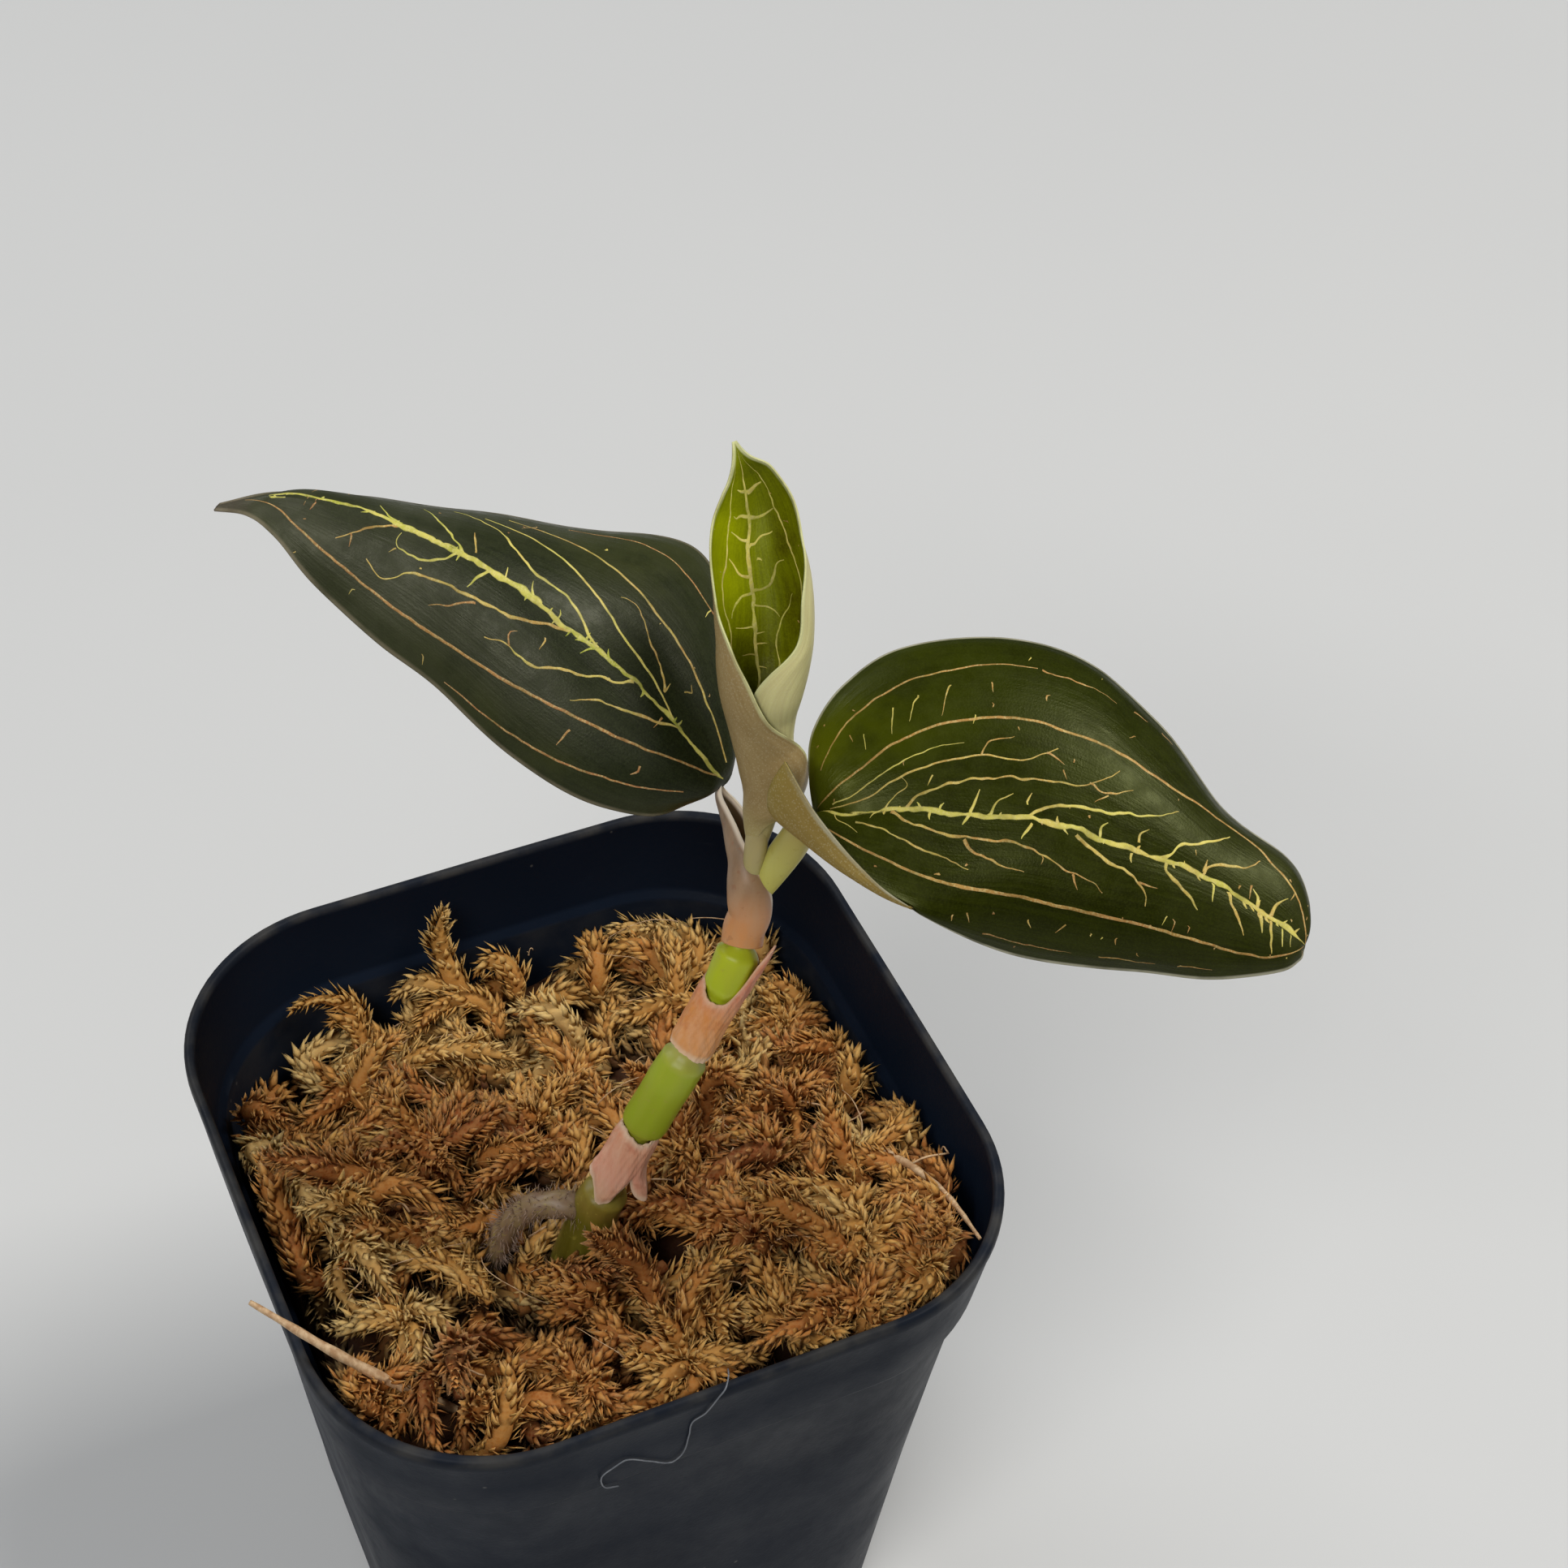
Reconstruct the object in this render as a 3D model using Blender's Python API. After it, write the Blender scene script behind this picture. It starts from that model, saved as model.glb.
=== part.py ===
"""Jewel orchid in a soft square nursery pot filled with sphagnum moss.

Every length below is in millimetres, read in the pot's own frame: the origin is the
centre of the pot's underside, X and Y run square to its walls and Z points up.
"""
import math
import random

import bmesh
import bpy
import numpy as np
from mathutils import Vector

MM = 0.001
COLLECTION = "jewel_orchid_in_pot"

# ---------------------------------------------------------------- pot
POT_HEIGHT = 65.0
POT_TOP_HALF = 32.5
POT_BASE_HALF = 25.0
POT_WALL = 0.9
POT_FLOOR = 1.3
COLLAR_HEIGHT = 10.5
COLLAR_STEP = 0.8
CORNER_SHARE = 0.52          # corner radius as a share of the half side
DRAIN_RADIUS = 3.2
DRAIN_OFFSET = 14.5
CORNER_STEPS = 7

# ---------------------------------------------------------------- moss
MOSS_GAP = 0.4
MOSS_FRONT_Z = 62.3
MOSS_BACK_DROP = 9.0
MOSS_LEFT_DROP = 4.0
TUFT_COUNT = 42
LONG_STRAND_COUNT = 16
MOSS_SEED = 7

# ---------------------------------------------------------------- plant
CLEARANCE = 0.3
BLADE_HALF_THICKNESS = 0.3
EDGE_WAVE = 0.22
EDGE_WAVES = 7

# Stem: x, y, z and radius, from its buried foot to the pin inside the leaf sheath.
STEM = (
    (-11.0, -9.5, 40.0, 1.5),
    (-9.2, -10.4, 46.0, 2.0),
    (-7.0, -11.2, 55.0, 2.1),
    (-5.5, -11.7, 61.2, 2.1),
    (-3.9, -12.2, 67.4, 2.1),
    (-3.2, -12.5, 69.2, 2.05),
    (-3.1, -12.55, 69.5, 1.25),
    (-1.0, -13.5, 76.9, 1.25),
    (-0.4, -13.75, 78.5, 1.3),
    (-0.3, -13.8, 78.8, 2.0),
    (1.7, -14.6, 84.5, 2.0),
    (3.0, -14.7, 87.1, 1.95),
    (3.1, -14.7, 87.4, 1.3),
    (5.0, -14.3, 90.8, 1.25),
    (6.3, -14.0, 92.8, 1.3),
    (6.6, -13.85, 93.3, 1.8),
    (8.3, -13.0, 96.4, 1.8),
    (8.4, -12.95, 96.6, 1.0),
    (8.9, -12.4, 98.0, 0.95),
)
ROOT = (
    (-4.6, -12.0, 66.0, 1.2),
    (-6.6, -11.0, 67.0, 1.25),
    (-8.8, -9.8, 66.4, 1.2),
    (-10.8, -8.9, 64.0, 1.1),
    (-12.0, -8.5, 60.5, 1.0),
    (-12.6, -8.2, 56.5, 0.6),
)
# Papery sheaths round the stem: x, y, z, inner and outer radius.
LOWER_SHEATH = (
    (-3.0, -12.6, 69.9, 1.65, 2.3),
    (-2.3, -12.9, 72.2, 1.6, 2.25),
    (-1.4, -13.3, 75.4, 1.6, 2.2),
    (-0.5, -13.7, 78.2, 1.6, 2.2),
)
UPPER_SHEATH = (
    (3.3, -14.65, 87.9, 1.65, 2.3),
    (4.9, -14.3, 90.6, 1.6, 2.2),
    (6.1, -14.0, 92.5, 1.7, 2.3),
    (6.9, -13.8, 93.9, 2.1, 2.7),
)
LOWER_FLAP_WAY = (0.9, -0.45, -0.2)
UPPER_TIP_WAY = (0.69, -0.72, -0.12)
SHEATH_SIDES = 20

# Petioles: x, y, z and radius.
LEFT_PETIOLE = (
    (8.55, -12.85, 96.95, 1.85),
    (9.0, -12.3, 98.0, 1.85),
    (9.4, -11.8, 99.4, 1.9),
    (9.4, -11.2, 101.0, 1.6),
    (9.2, -10.3, 102.5, 1.15),
    (9.1, -9.2, 104.2, 0.9),
    (9.1, -8.0, 106.2, 0.85),
    (9.3, -6.9, 108.0, 0.9),
    (8.9, -6.1, 109.4, 0.75),
    (7.9, -5.2, 110.9, 0.45),
)
RIGHT_PETIOLE = (
    (9.3, -12.0, 98.9, 0.9),
    (9.9, -11.7, 100.3, 0.95),
    (10.8, -11.9, 102.2, 1.2),
    (11.6, -12.2, 104.4, 1.35),
    (12.5, -12.8, 107.0, 1.35),
    (13.2, -13.8, 109.8, 1.15),
    (14.2, -15.2, 111.8, 0.85),
    (15.8, -16.6, 112.9, 0.45),
)
YOUNG_PETIOLE = (
    (9.75, -11.5, 102.6, 0.5),
    (10.0, -11.3, 103.8, 0.65),
    (10.3, -11.0, 105.4, 0.85),
    (10.6, -10.6, 107.2, 1.0),
    (10.8, -10.4, 108.9, 1.1),
    (11.1, -10.2, 110.3, 0.9),
    (11.3, -10.0, 111.5, 0.4),
)

# Blades: a coarse cage, one row per station between the base and the tip. Each row holds
# the far edge, the point its half is drawn towards, the midrib, the near half's point and
# the near edge.
LEFT_BLADE = {
    "base": (9.8, -6.3, 109.0),
    "rows": (
        ((11.5, -4, 110), (11, -5, 111), (8.5, -6, 110.5), (7.5, -7.5, 109.5), (6.5, -6.5, 108)),
        ((13.5, 0, 111), (11, -1.5, 114.5), (7, -3.5, 113), (4, -6.5, 112.5), (3, -6, 107.5)),
        ((15.5, 7.5, 114), (10, 3, 118), (4.5, 0.5, 116), (0.5, -3, 115), (-1.5, -4, 109)),
        ((15, 13, 116.5), (6.5, 7, 120.5), (1, 4.5, 119.5), (-3, 2, 118), (-6, 0.5, 111.5)),
        ((8, 16, 118), (1.5, 11, 122.5), (-3, 9, 122), (-6.5, 7.5, 120.5), (-9.5, 6.5, 114.5)),
        ((0.5, 18.5, 120), (-4, 14.5, 123.5), (-7, 14, 123.5), (-9.5, 12.5, 122.5), (-13, 11, 117)),
        ((-6.5, 20.5, 122), (-9.5, 17.5, 124.5), (-11.5, 17.5, 124.5), (-13.5, 16.5, 124), (-16.5, 15.5, 120.5)),
        ((-13.5, 22, 124), (-14.5, 21, 125.5), (-16, 20.5, 125.5), (-17, 20, 124.5), (-18.5, 19, 123.5)),
        ((-18, 22.5, 125), (-18.5, 22, 125), (-19, 22, 125), (-19.5, 21.5, 125), (-20, 21, 124.5)),
    ),
    "tip": (-21.7, 23.6, 123.9),
}
RIGHT_BLADE = {
    "base": (13.3, -14.8, 111.8),
    "rows": (
        ((14, -12.5, 113.5), (14, -14, 113.5), (14.5, -15.5, 112.5), (6.5, -14, 111), (11, -14, 118)),
        ((15.5, -9.5, 115.5), (16, -13, 116), (16, -17, 113), (7.5, -18, 109.5), (12, -17.5, 115.5)),
        ((19.5, -7, 117), (19.5, -12, 118), (20, -19, 114), (10, -22.5, 108.5), (14, -21.5, 112.5)),
        ((24.5, -6, 118), (24.5, -12.5, 119.5), (24, -21.5, 114), (17, -26, 109), (17.5, -25, 108.5)),
        ((33, -8.5, 118.5), (30, -15, 119.5), (28.5, -24.5, 114), (24, -28, 111), (24, -28, 105)),
        ((38.5, -12.5, 117), (35, -19.5, 118.5), (32.5, -27.5, 113), (29.5, -31.5, 110.5), (30, -31.5, 104.5)),
        ((41, -18.5, 114.5), (37.5, -25, 116), (36.5, -30, 112), (34, -34, 110), (35, -34.5, 104.5)),
        ((43, -26, 111.5), (41, -30, 113), (40, -33, 110.5), (38.5, -36, 109), (39, -37, 105)),
        ((47, -31.5, 110.5), (45, -34, 111), (42.5, -36, 109), (42, -38, 108), (42.5, -38.5, 106)),
        ((46.5, -35, 109), (45.5, -37, 108.5), (44, -37.5, 108), (43.5, -38.5, 107.5), (44, -38.5, 106.5)),
    ),
    "tip": (44.7, -37.9, 107.3),
}
BLADE_END_HALF_WIDTH = 0.4

# Young leaf, rolled round its own axis: x, y, z of the axis, radius at its right edge and
# at its left edge, and how far in degrees each edge reaches round from the midrib.
YOUNG_BLADE = (
    (10.7, -10.5, 107.2, 0.55, 0.60, 150, 150),
    (10.8, -10.3, 108.9, 0.85, 1.20, 150, 180),
    (11.2, -10.2, 110.5, 1.10, 2.90, 215, 260),
    (11.4, -9.9, 112.2, 1.35, 3.30, 215, 270),
    (11.4, -9.6, 113.9, 1.60, 3.10, 210, 260),
    (11.4, -9.2, 115.4, 1.45, 2.60, 205, 245),
    (11.7, -8.5, 117.5, 1.95, 2.95, 200, 185),
    (11.9, -7.9, 119.6, 2.50, 3.40, 195, 160),
    (12.3, -7.0, 121.4, 3.15, 3.60, 160, 145),
    (12.7, -6.0, 123.2, 3.50, 3.55, 135, 130),
    (13.2, -4.3, 125.6, 3.65, 3.65, 125, 100),
    (13.7, -1.7, 128.6, 3.60, 3.55, 90, 90),
    (14.6, 0.8, 130.9, 3.10, 3.10, 75, 75),
    (14.9, 2.9, 132.3, 1.95, 1.95, 65, 65),
    (14.7, 3.9, 132.9, 0.95, 0.95, 55, 55),
    (14.7, 5.3, 133.7, 0.50, 0.50, 20, 20),
)
YOUNG_BACK = (0.322, 0.666, -0.673)     # the way the young leaf's midrib faces


# ---------------------------------------------------------------- small tools
def clear_scene():
    for thing in list(bpy.data.objects):
        bpy.data.objects.remove(thing, do_unlink=True)


def principled(name, colour, roughness):
    material = bpy.data.materials.new(name)
    material.use_nodes = True
    shader = material.node_tree.nodes["Principled BSDF"]
    shader.inputs["Base Color"].default_value = (*colour, 1.0)
    shader.inputs["Roughness"].default_value = roughness
    return material


def solid(name, points, faces, collection):
    """A new object from points in millimetres, its faces turned outwards."""
    mesh = bpy.data.meshes.new(name)
    mesh.from_pydata([Vector(p) * MM for p in points], [], faces)
    build = bmesh.new()
    build.from_mesh(mesh)
    bmesh.ops.recalc_face_normals(build, faces=build.faces)
    build.to_mesh(mesh)
    build.free()
    thing = bpy.data.objects.new(name, mesh)
    collection.objects.link(thing)
    return thing


def combine(target, tools, operation, solver="EXACT"):
    """Boolean the tools with the target, keep the result and remove the tools."""
    group = bpy.data.collections.new("tools")
    bpy.context.scene.collection.children.link(group)
    for tool in tools:
        for owner in list(tool.users_collection):
            owner.objects.unlink(tool)
        group.objects.link(tool)
    modifier = target.modifiers.new("combine", "BOOLEAN")
    modifier.operation = operation
    modifier.operand_type = "COLLECTION"
    modifier.collection = group
    modifier.solver = solver
    graph = bpy.context.evaluated_depsgraph_get()
    mesh = bpy.data.meshes.new_from_object(target.evaluated_get(graph))
    target.modifiers.clear()
    target.data = mesh
    for tool in tools:
        bpy.data.objects.remove(tool, do_unlink=True)
    bpy.data.collections.remove(group)
    return target


def keep_largest_piece(thing):
    """Drop the loose scraps that cutting may leave."""
    build = bmesh.new()
    build.from_mesh(thing.data)
    unseen = set(build.verts)
    pieces = []
    while unseen:
        piece = set()
        edge_of_piece = [unseen.pop()]
        while edge_of_piece:
            vertex = edge_of_piece.pop()
            piece.add(vertex)
            for edge in vertex.link_edges:
                other = edge.other_vert(vertex)
                if other in unseen:
                    unseen.remove(other)
                    edge_of_piece.append(other)
        pieces.append(piece)
    largest = max(pieces, key=len)
    scraps = [v for piece in pieces if piece is not largest for v in piece]
    bmesh.ops.delete(build, geom=scraps, context="VERTS")
    build.to_mesh(thing.data)
    build.free()


def finish(thing, material, smooth_angle=35.0):
    thing.data.materials.clear()
    thing.data.materials.append(material)
    for face in thing.data.polygons:
        face.use_smooth = True
    thing.data.set_sharp_from_angle(angle=math.radians(smooth_angle))


def spline(keys, stations, samples):
    """A smooth curve through the keys, read at the samples."""
    keys = np.asarray(keys, float)
    slopes = np.empty_like(keys)
    slopes[0] = (keys[1] - keys[0]) / (stations[1] - stations[0])
    slopes[-1] = (keys[-1] - keys[-2]) / (stations[-1] - stations[-2])
    for i in range(1, len(keys) - 1):
        slopes[i] = (keys[i + 1] - keys[i - 1]) / (stations[i + 1] - stations[i - 1])
    curve = []
    for sample in samples:
        i = min(max(int(np.searchsorted(stations, sample)) - 1, 0), len(keys) - 2)
        step = stations[i + 1] - stations[i]
        t = (sample - stations[i]) / step
        curve.append(
            (1 + 2 * t) * (1 - t) ** 2 * keys[i]
            + t * (1 - t) ** 2 * step * slopes[i]
            + t * t * (3 - 2 * t) * keys[i + 1]
            + t * t * (t - 1) * step * slopes[i + 1]
        )
    return np.array(curve)


def along(points):
    """Share of the whole length reached at each point."""
    steps = np.linalg.norm(np.diff(np.asarray(points, float), axis=0), axis=1)
    reached = np.concatenate(([0.0], np.cumsum(steps)))
    return reached / reached[-1]


def unit(vector):
    vector = np.asarray(vector, float)
    return vector / np.linalg.norm(vector, axis=-1, keepdims=True)


def square_to(axis, way):
    """The part of a direction that lies square to the axis."""
    way = np.asarray(way, float)
    return unit(way - axis * np.dot(axis, way))


def tube(name, rows, collection, sides=10, fatten=0.0):
    """A capped round stalk through rows of x, y, z and radius; a cutter is fattened all round."""
    rows = np.array(rows, float)
    centres = rows[:, :3]
    tangents = unit(np.gradient(centres, axis=0))
    centres[0] -= tangents[0] * fatten
    centres[-1] += tangents[-1] * fatten
    way = square_to(tangents[0], (0.0, 1.0, 0.1))
    points = []
    for centre, tangent, radius in zip(centres, tangents, rows[:, 3]):
        way = square_to(tangent, way)
        across = np.cross(tangent, way)
        for i in range(sides):
            turn = 2 * math.pi * i / sides
            points.append(centre + (radius + fatten) * (math.cos(turn) * way + math.sin(turn) * across))
    faces = []
    for ring in range(len(rows) - 1):
        for i in range(sides):
            a = ring * sides + i
            b = ring * sides + (i + 1) % sides
            faces.append((a, b, b + sides, a + sides))
    faces.append(tuple(range(sides)))
    faces.append(tuple(range((len(rows) - 1) * sides, len(rows) * sides)))
    return solid(name, points, faces, collection)


def smooth_rows(rows, count):
    """More rows on the smooth curve through the given ones."""
    rows = np.asarray(rows, float)
    reach = along(rows[:, :3])
    return spline(rows, reach, np.linspace(0.0, 1.0, count))


def lower_part(petiole):
    """The part of a petiole that other leaves must leave room for."""
    rows = smooth_rows(petiole, 2 * len(petiole))
    return rows[: int(len(rows) * 0.62)]


# ---------------------------------------------------------------- leaves
def sheet_normals(grid):
    """Unit normals of a grid of points; end rows borrow their neighbour's."""
    along_leaf = np.gradient(grid, axis=0)
    across_leaf = np.gradient(grid, axis=1)
    normals = np.cross(along_leaf, across_leaf)
    normals[0] = normals[1]
    normals[-1] = normals[-2]
    return unit(normals)


def thick_sheet(name, grid, collection):
    """A closed blade round a grid of points, split alike on both faces."""
    rows, columns, _ = grid.shape
    normals = sheet_normals(grid)
    upper = (grid + normals * BLADE_HALF_THICKNESS).reshape(-1, 3)
    lower = (grid - normals * BLADE_HALF_THICKNESS).reshape(-1, 3)
    below = rows * columns
    faces = []
    for i in range(rows - 1):
        for j in range(columns - 1):
            a = i * columns + j
            b, c, d = a + 1, a + columns + 1, a + columns
            faces += [(a, b, c), (a, c, d)]
            faces += [(below + a, below + c, below + b), (below + a, below + d, below + c)]
    rim = [j for j in range(columns)]
    rim += [i * columns + columns - 1 for i in range(1, rows)]
    rim += [(rows - 1) * columns + j for j in range(columns - 2, -1, -1)]
    rim += [i * columns for i in range(rows - 2, 0, -1)]
    for a, b in zip(rim, rim[1:] + rim[:1]):
        faces.append((a, b, below + b, below + a))
    return solid(name, np.vstack((upper, lower)), faces, collection)


def pinched_row(point, neighbour):
    """The narrow first or last row of a cage, laid the same way as its neighbour."""
    way = unit(np.subtract(neighbour[0], neighbour[4]))
    return [np.add(point, way * BLADE_END_HALF_WIDTH * share) for share in (1.0, 0.5, 0.0, -0.5, -1.0)]


def blade_grid(blade, rows, half_columns):
    """Points over a blade: each half bends from the midrib out to its waved edge."""
    inner = blade["rows"]
    first = pinched_row(blade["base"], inner[0])
    last = pinched_row(blade["tip"], inner[-1])
    cage = np.array([first, *inner, last], float)
    stations = np.linspace(0.0, 1.0, len(cage))
    samples = np.linspace(0.0, 1.0, rows)
    lines = [spline(cage[:, k], stations, samples) for k in range(5)]
    across = np.linspace(0.0, 1.0, half_columns + 1)
    grid = []
    for i, sample in enumerate(samples):
        far_edge, far_pull, midrib, near_pull, near_edge = (line[i] for line in lines)
        far = [(1 - t) ** 2 * midrib + 2 * t * (1 - t) * far_pull + t * t * far_edge for t in across]
        near = [(1 - t) ** 2 * midrib + 2 * t * (1 - t) * near_pull + t * t * near_edge for t in across]
        grid.append(far[:0:-1] + near)
    grid = np.array(grid)
    normals = sheet_normals(grid)
    shares = np.abs(np.linspace(-1.0, 1.0, 2 * half_columns + 1)) ** 3
    calm = np.sin(np.pi * samples)
    wave = EDGE_WAVE * calm * np.sin(2 * np.pi * EDGE_WAVES * samples)
    return grid + normals * wave[:, None, None] * shares[None, :, None]


def rolled_grid(rows_of_keys, back, rows, columns):
    """Points over a rolled blade, from its right edge round the midrib to its left edge."""
    keys = np.asarray(rows_of_keys, float)
    reach = along(keys[:, :3])
    rows_here = spline(keys, reach, np.linspace(0.0, 1.0, rows))
    centres = rows_here[:, :3]
    tangents = unit(np.gradient(centres, axis=0))
    grid = []
    for centre, tangent, (right_radius, left_radius, right_turn, left_turn) in zip(
        centres, tangents, rows_here[:, 3:]
    ):
        behind = square_to(tangent, back)
        left = np.cross(tangent, behind)
        row = []
        for share in np.linspace(-1.0, 1.0, columns):
            turn = share * (left_turn if share > 0 else right_turn)
            reached = (turn + right_turn) / (right_turn + left_turn)
            radius = right_radius + (left_radius - right_radius) * reached
            turn = math.radians(turn)
            row.append(centre + radius * (math.cos(turn) * behind + math.sin(turn) * left))
        grid.append(row)
    return np.array(grid)


def build_leaf(name, grid, petiole, clear_of, collection, sides=12):
    """A blade grown onto its petiole, hollowed where other stalks pass through."""
    leaf = thick_sheet(name, grid, collection)
    stalk = tube(name + "_stalk", smooth_rows(petiole, 2 * len(petiole)), collection, sides)
    combine(leaf, [stalk], "UNION", "MANIFOLD")
    for i, rows in enumerate(clear_of):
        cutter = tube(f"{name}_cutter_{i}", rows, collection, sides, fatten=CLEARANCE)
        combine(leaf, [cutter], "DIFFERENCE", "MANIFOLD")
    keep_largest_piece(leaf)
    return leaf


# ---------------------------------------------------------------- stem and sheaths
def build_stem(collection):
    stem = tube("stem", STEM, collection, 16)
    root = tube("stem_root", smooth_rows(ROOT, 9), collection, 10)
    return combine(stem, [root], "UNION")


def sleeve(name, rows, way, start_of, end_of, flare_of, collection, steps=7):
    """A thin sleeve; its ends and flare may change with the angle from a direction."""
    rows = np.asarray(rows, float)
    reach = along(rows[:, :3])
    points = []
    for wall in (4, 3):
        for step in range(steps):
            for i in range(SHEATH_SIDES):
                turn = 2 * math.pi * i / SHEATH_SIDES
                start, end = start_of(turn), end_of(turn)
                share = start + (end - start) * step / (steps - 1)
                row = spline(rows, reach, [min(max(share, 0.0), 1.0)])[0]
                tangent = unit(rows[-1, :3] - rows[0, :3])
                centre = row[:3] + tangent * (share - min(max(share, 0.0), 1.0)) * 8.0
                side = square_to(tangent, way)
                across = np.cross(tangent, side)
                radius = row[wall] + flare_of(turn, share)
                points.append(centre + radius * (math.cos(turn) * side + math.sin(turn) * across))
    faces = []
    inner = steps * SHEATH_SIDES
    for i in range(SHEATH_SIDES):
        j = (i + 1) % SHEATH_SIDES
        for step in range(steps - 1):
            a = step * SHEATH_SIDES
            b = a + SHEATH_SIDES
            faces.append((a + i, a + j, b + j, b + i))
            faces.append((inner + a + i, inner + b + i, inner + b + j, inner + a + j))
        last = (steps - 1) * SHEATH_SIDES
        faces.append((i, inner + i, inner + j, j))
        faces.append((last + i, last + j, inner + last + j, inner + last + i))
    return solid(name, points, faces, collection)


def near(turn, centre, width):
    """1 at an angle, falling smoothly to 0 a width away from it."""
    apart = abs((turn - centre + math.pi) % (2 * math.pi) - math.pi)
    return 0.0 if apart > width else 0.5 + 0.5 * math.cos(math.pi * apart / width)


def build_lower_sheath(collection):
    """The dry sheath at the lowest node, its foot torn into two flaps."""
    def start(turn):
        return -0.16 * near(turn, 0.0, 0.9) - 0.10 * near(turn, 3.5, 0.7) + 0.02 * math.sin(5 * turn)

    def end(turn):
        return 1.0 - 0.03 * math.sin(3 * turn)

    def flare(turn, share):
        foot = max(0.0, 0.35 - share) / 0.35
        return foot ** 1.5 * (1.2 * near(turn, 0.0, 1.2) + 0.9 * near(turn, 3.5, 1.0))

    return sleeve("sheath_lower", LOWER_SHEATH, LOWER_FLAP_WAY, start, end, flare, collection)


def build_upper_sheath(collection):
    """The younger sheath, open on one side and drawn out to a point on the other."""
    def start(turn):
        return 0.0

    def end(turn):
        return 0.74 + 0.86 * ((1 + math.cos(turn)) / 2) ** 1.6

    def flare(turn, share):
        return 0.55 * max(0.0, share - 1.0) * (1 + math.cos(turn)) / 2 * 1.2

    return sleeve("sheath_upper", UPPER_SHEATH, UPPER_TIP_WAY, start, end, flare, collection, steps=9)


# ---------------------------------------------------------------- pot
def square_ring(half, z, corner_share=CORNER_SHARE, steps=CORNER_STEPS):
    """A round-cornered square, walked once round."""
    corner = half * corner_share
    points = []
    for quarter in range(4):
        start = quarter * math.pi / 2
        way_x = 1 if quarter in (0, 3) else -1
        way_y = 1 if quarter in (0, 1) else -1
        for step in range(steps + 1):
            turn = start + math.pi / 2 * step / steps
            points.append((
                way_x * (half - corner) + corner * math.cos(turn),
                way_y * (half - corner) + corner * math.sin(turn),
                z,
            ))
    return points


def stacked_rings(name, rings, collection):
    """A solid through a stack of like rings, closed at both ends."""
    size = len(rings[0])
    faces = []
    for level in range(len(rings) - 1):
        for i in range(size):
            a = level * size + i
            b = level * size + (i + 1) % size
            faces.append((a, b, b + size, a + size))
    faces.append(tuple(range(size)))
    faces.append(tuple(range((len(rings) - 1) * size, len(rings) * size)))
    return solid(name, [p for ring in rings for p in ring], faces, collection)


def pot_half(z):
    """Half side of the pot's outer face below its collar."""
    lean = (POT_TOP_HALF - COLLAR_STEP - POT_BASE_HALF) / POT_HEIGHT
    return POT_BASE_HALF + lean * z


def build_pot(collection):
    collar_z = POT_HEIGHT - COLLAR_HEIGHT
    inner_collar_z = collar_z + COLLAR_STEP
    profile = [
        (pot_half(0.0) - 0.6, 0.0),
        (pot_half(0.6), 0.6),
        (pot_half(collar_z), collar_z),
        (pot_half(collar_z) + COLLAR_STEP, collar_z + 0.5),
        (POT_TOP_HALF, POT_HEIGHT - 0.3),
        (POT_TOP_HALF - 0.3, POT_HEIGHT),
        (POT_TOP_HALF - POT_WALL + 0.3, POT_HEIGHT),
        (POT_TOP_HALF - POT_WALL, POT_HEIGHT - 0.3),
        (pot_half(inner_collar_z) + COLLAR_STEP - POT_WALL, inner_collar_z + 0.6),
        (pot_half(inner_collar_z) - POT_WALL, inner_collar_z),
        (pot_half(POT_FLOOR) - POT_WALL, POT_FLOOR),
    ]
    rings = [square_ring(half, z) for half, z in profile]
    pot = stacked_rings("pot", rings, collection)
    drains = []
    for x in (-DRAIN_OFFSET, DRAIN_OFFSET):
        for y in (-DRAIN_OFFSET, DRAIN_OFFSET):
            rows = ((x, y, -1.0, DRAIN_RADIUS), (x, y, POT_FLOOR + 1.0, DRAIN_RADIUS))
            drains.append(tube("drain", rows, collection, 20))
    return combine(pot, drains, "DIFFERENCE")


# ---------------------------------------------------------------- moss
def ease(value):
    value = min(max(value, 0.0), 1.0)
    return value * value * (3 - 2 * value)


def moss_top(x, y):
    """Height of the moss bed: full at the front, sunk at the back and at the left."""
    back = 0.447 * x + 0.894 * y
    left = -(0.894 * x - 0.447 * y)
    z = MOSS_FRONT_Z - MOSS_BACK_DROP * ease((back + 8) / 34) - MOSS_LEFT_DROP * ease((left - 6) / 30)
    return z + 0.9 * math.sin(0.43 * x + 1.0) * math.sin(0.37 * y)


def moss_room_half(z):
    """Half side of the room the moss may fill."""
    collar_z = POT_HEIGHT - COLLAR_HEIGHT + COLLAR_STEP
    if z < collar_z:
        return pot_half(z) - POT_WALL - MOSS_GAP
    return min(pot_half(z) + COLLAR_STEP * ease((z - collar_z) / 2.0), POT_TOP_HALF) - POT_WALL - MOSS_GAP


def moss_core(collection):
    """The packed bed: straight sides and a bumpy top of nested rings."""
    rings = [square_ring(moss_room_half(z), z, steps=5) for z in (POT_FLOOR + MOSS_GAP, 25.0, 42.0)]
    for share in (1.0, 0.85, 0.68, 0.5, 0.32, 0.12):
        ring = []
        for x, y, _ in square_ring(moss_room_half(50.0) * share, 0.0, steps=5):
            bump = 1.1 * math.sin(1.05 * x + 0.4 * y) * math.sin(0.95 * y - 0.3 * x)
            ring.append((x, y, moss_top(x, y) - 1.9 + bump - (1.5 if share == 1.0 else 0.0)))
        rings.append(ring)
    return stacked_rings("moss", rings, collection)


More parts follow.
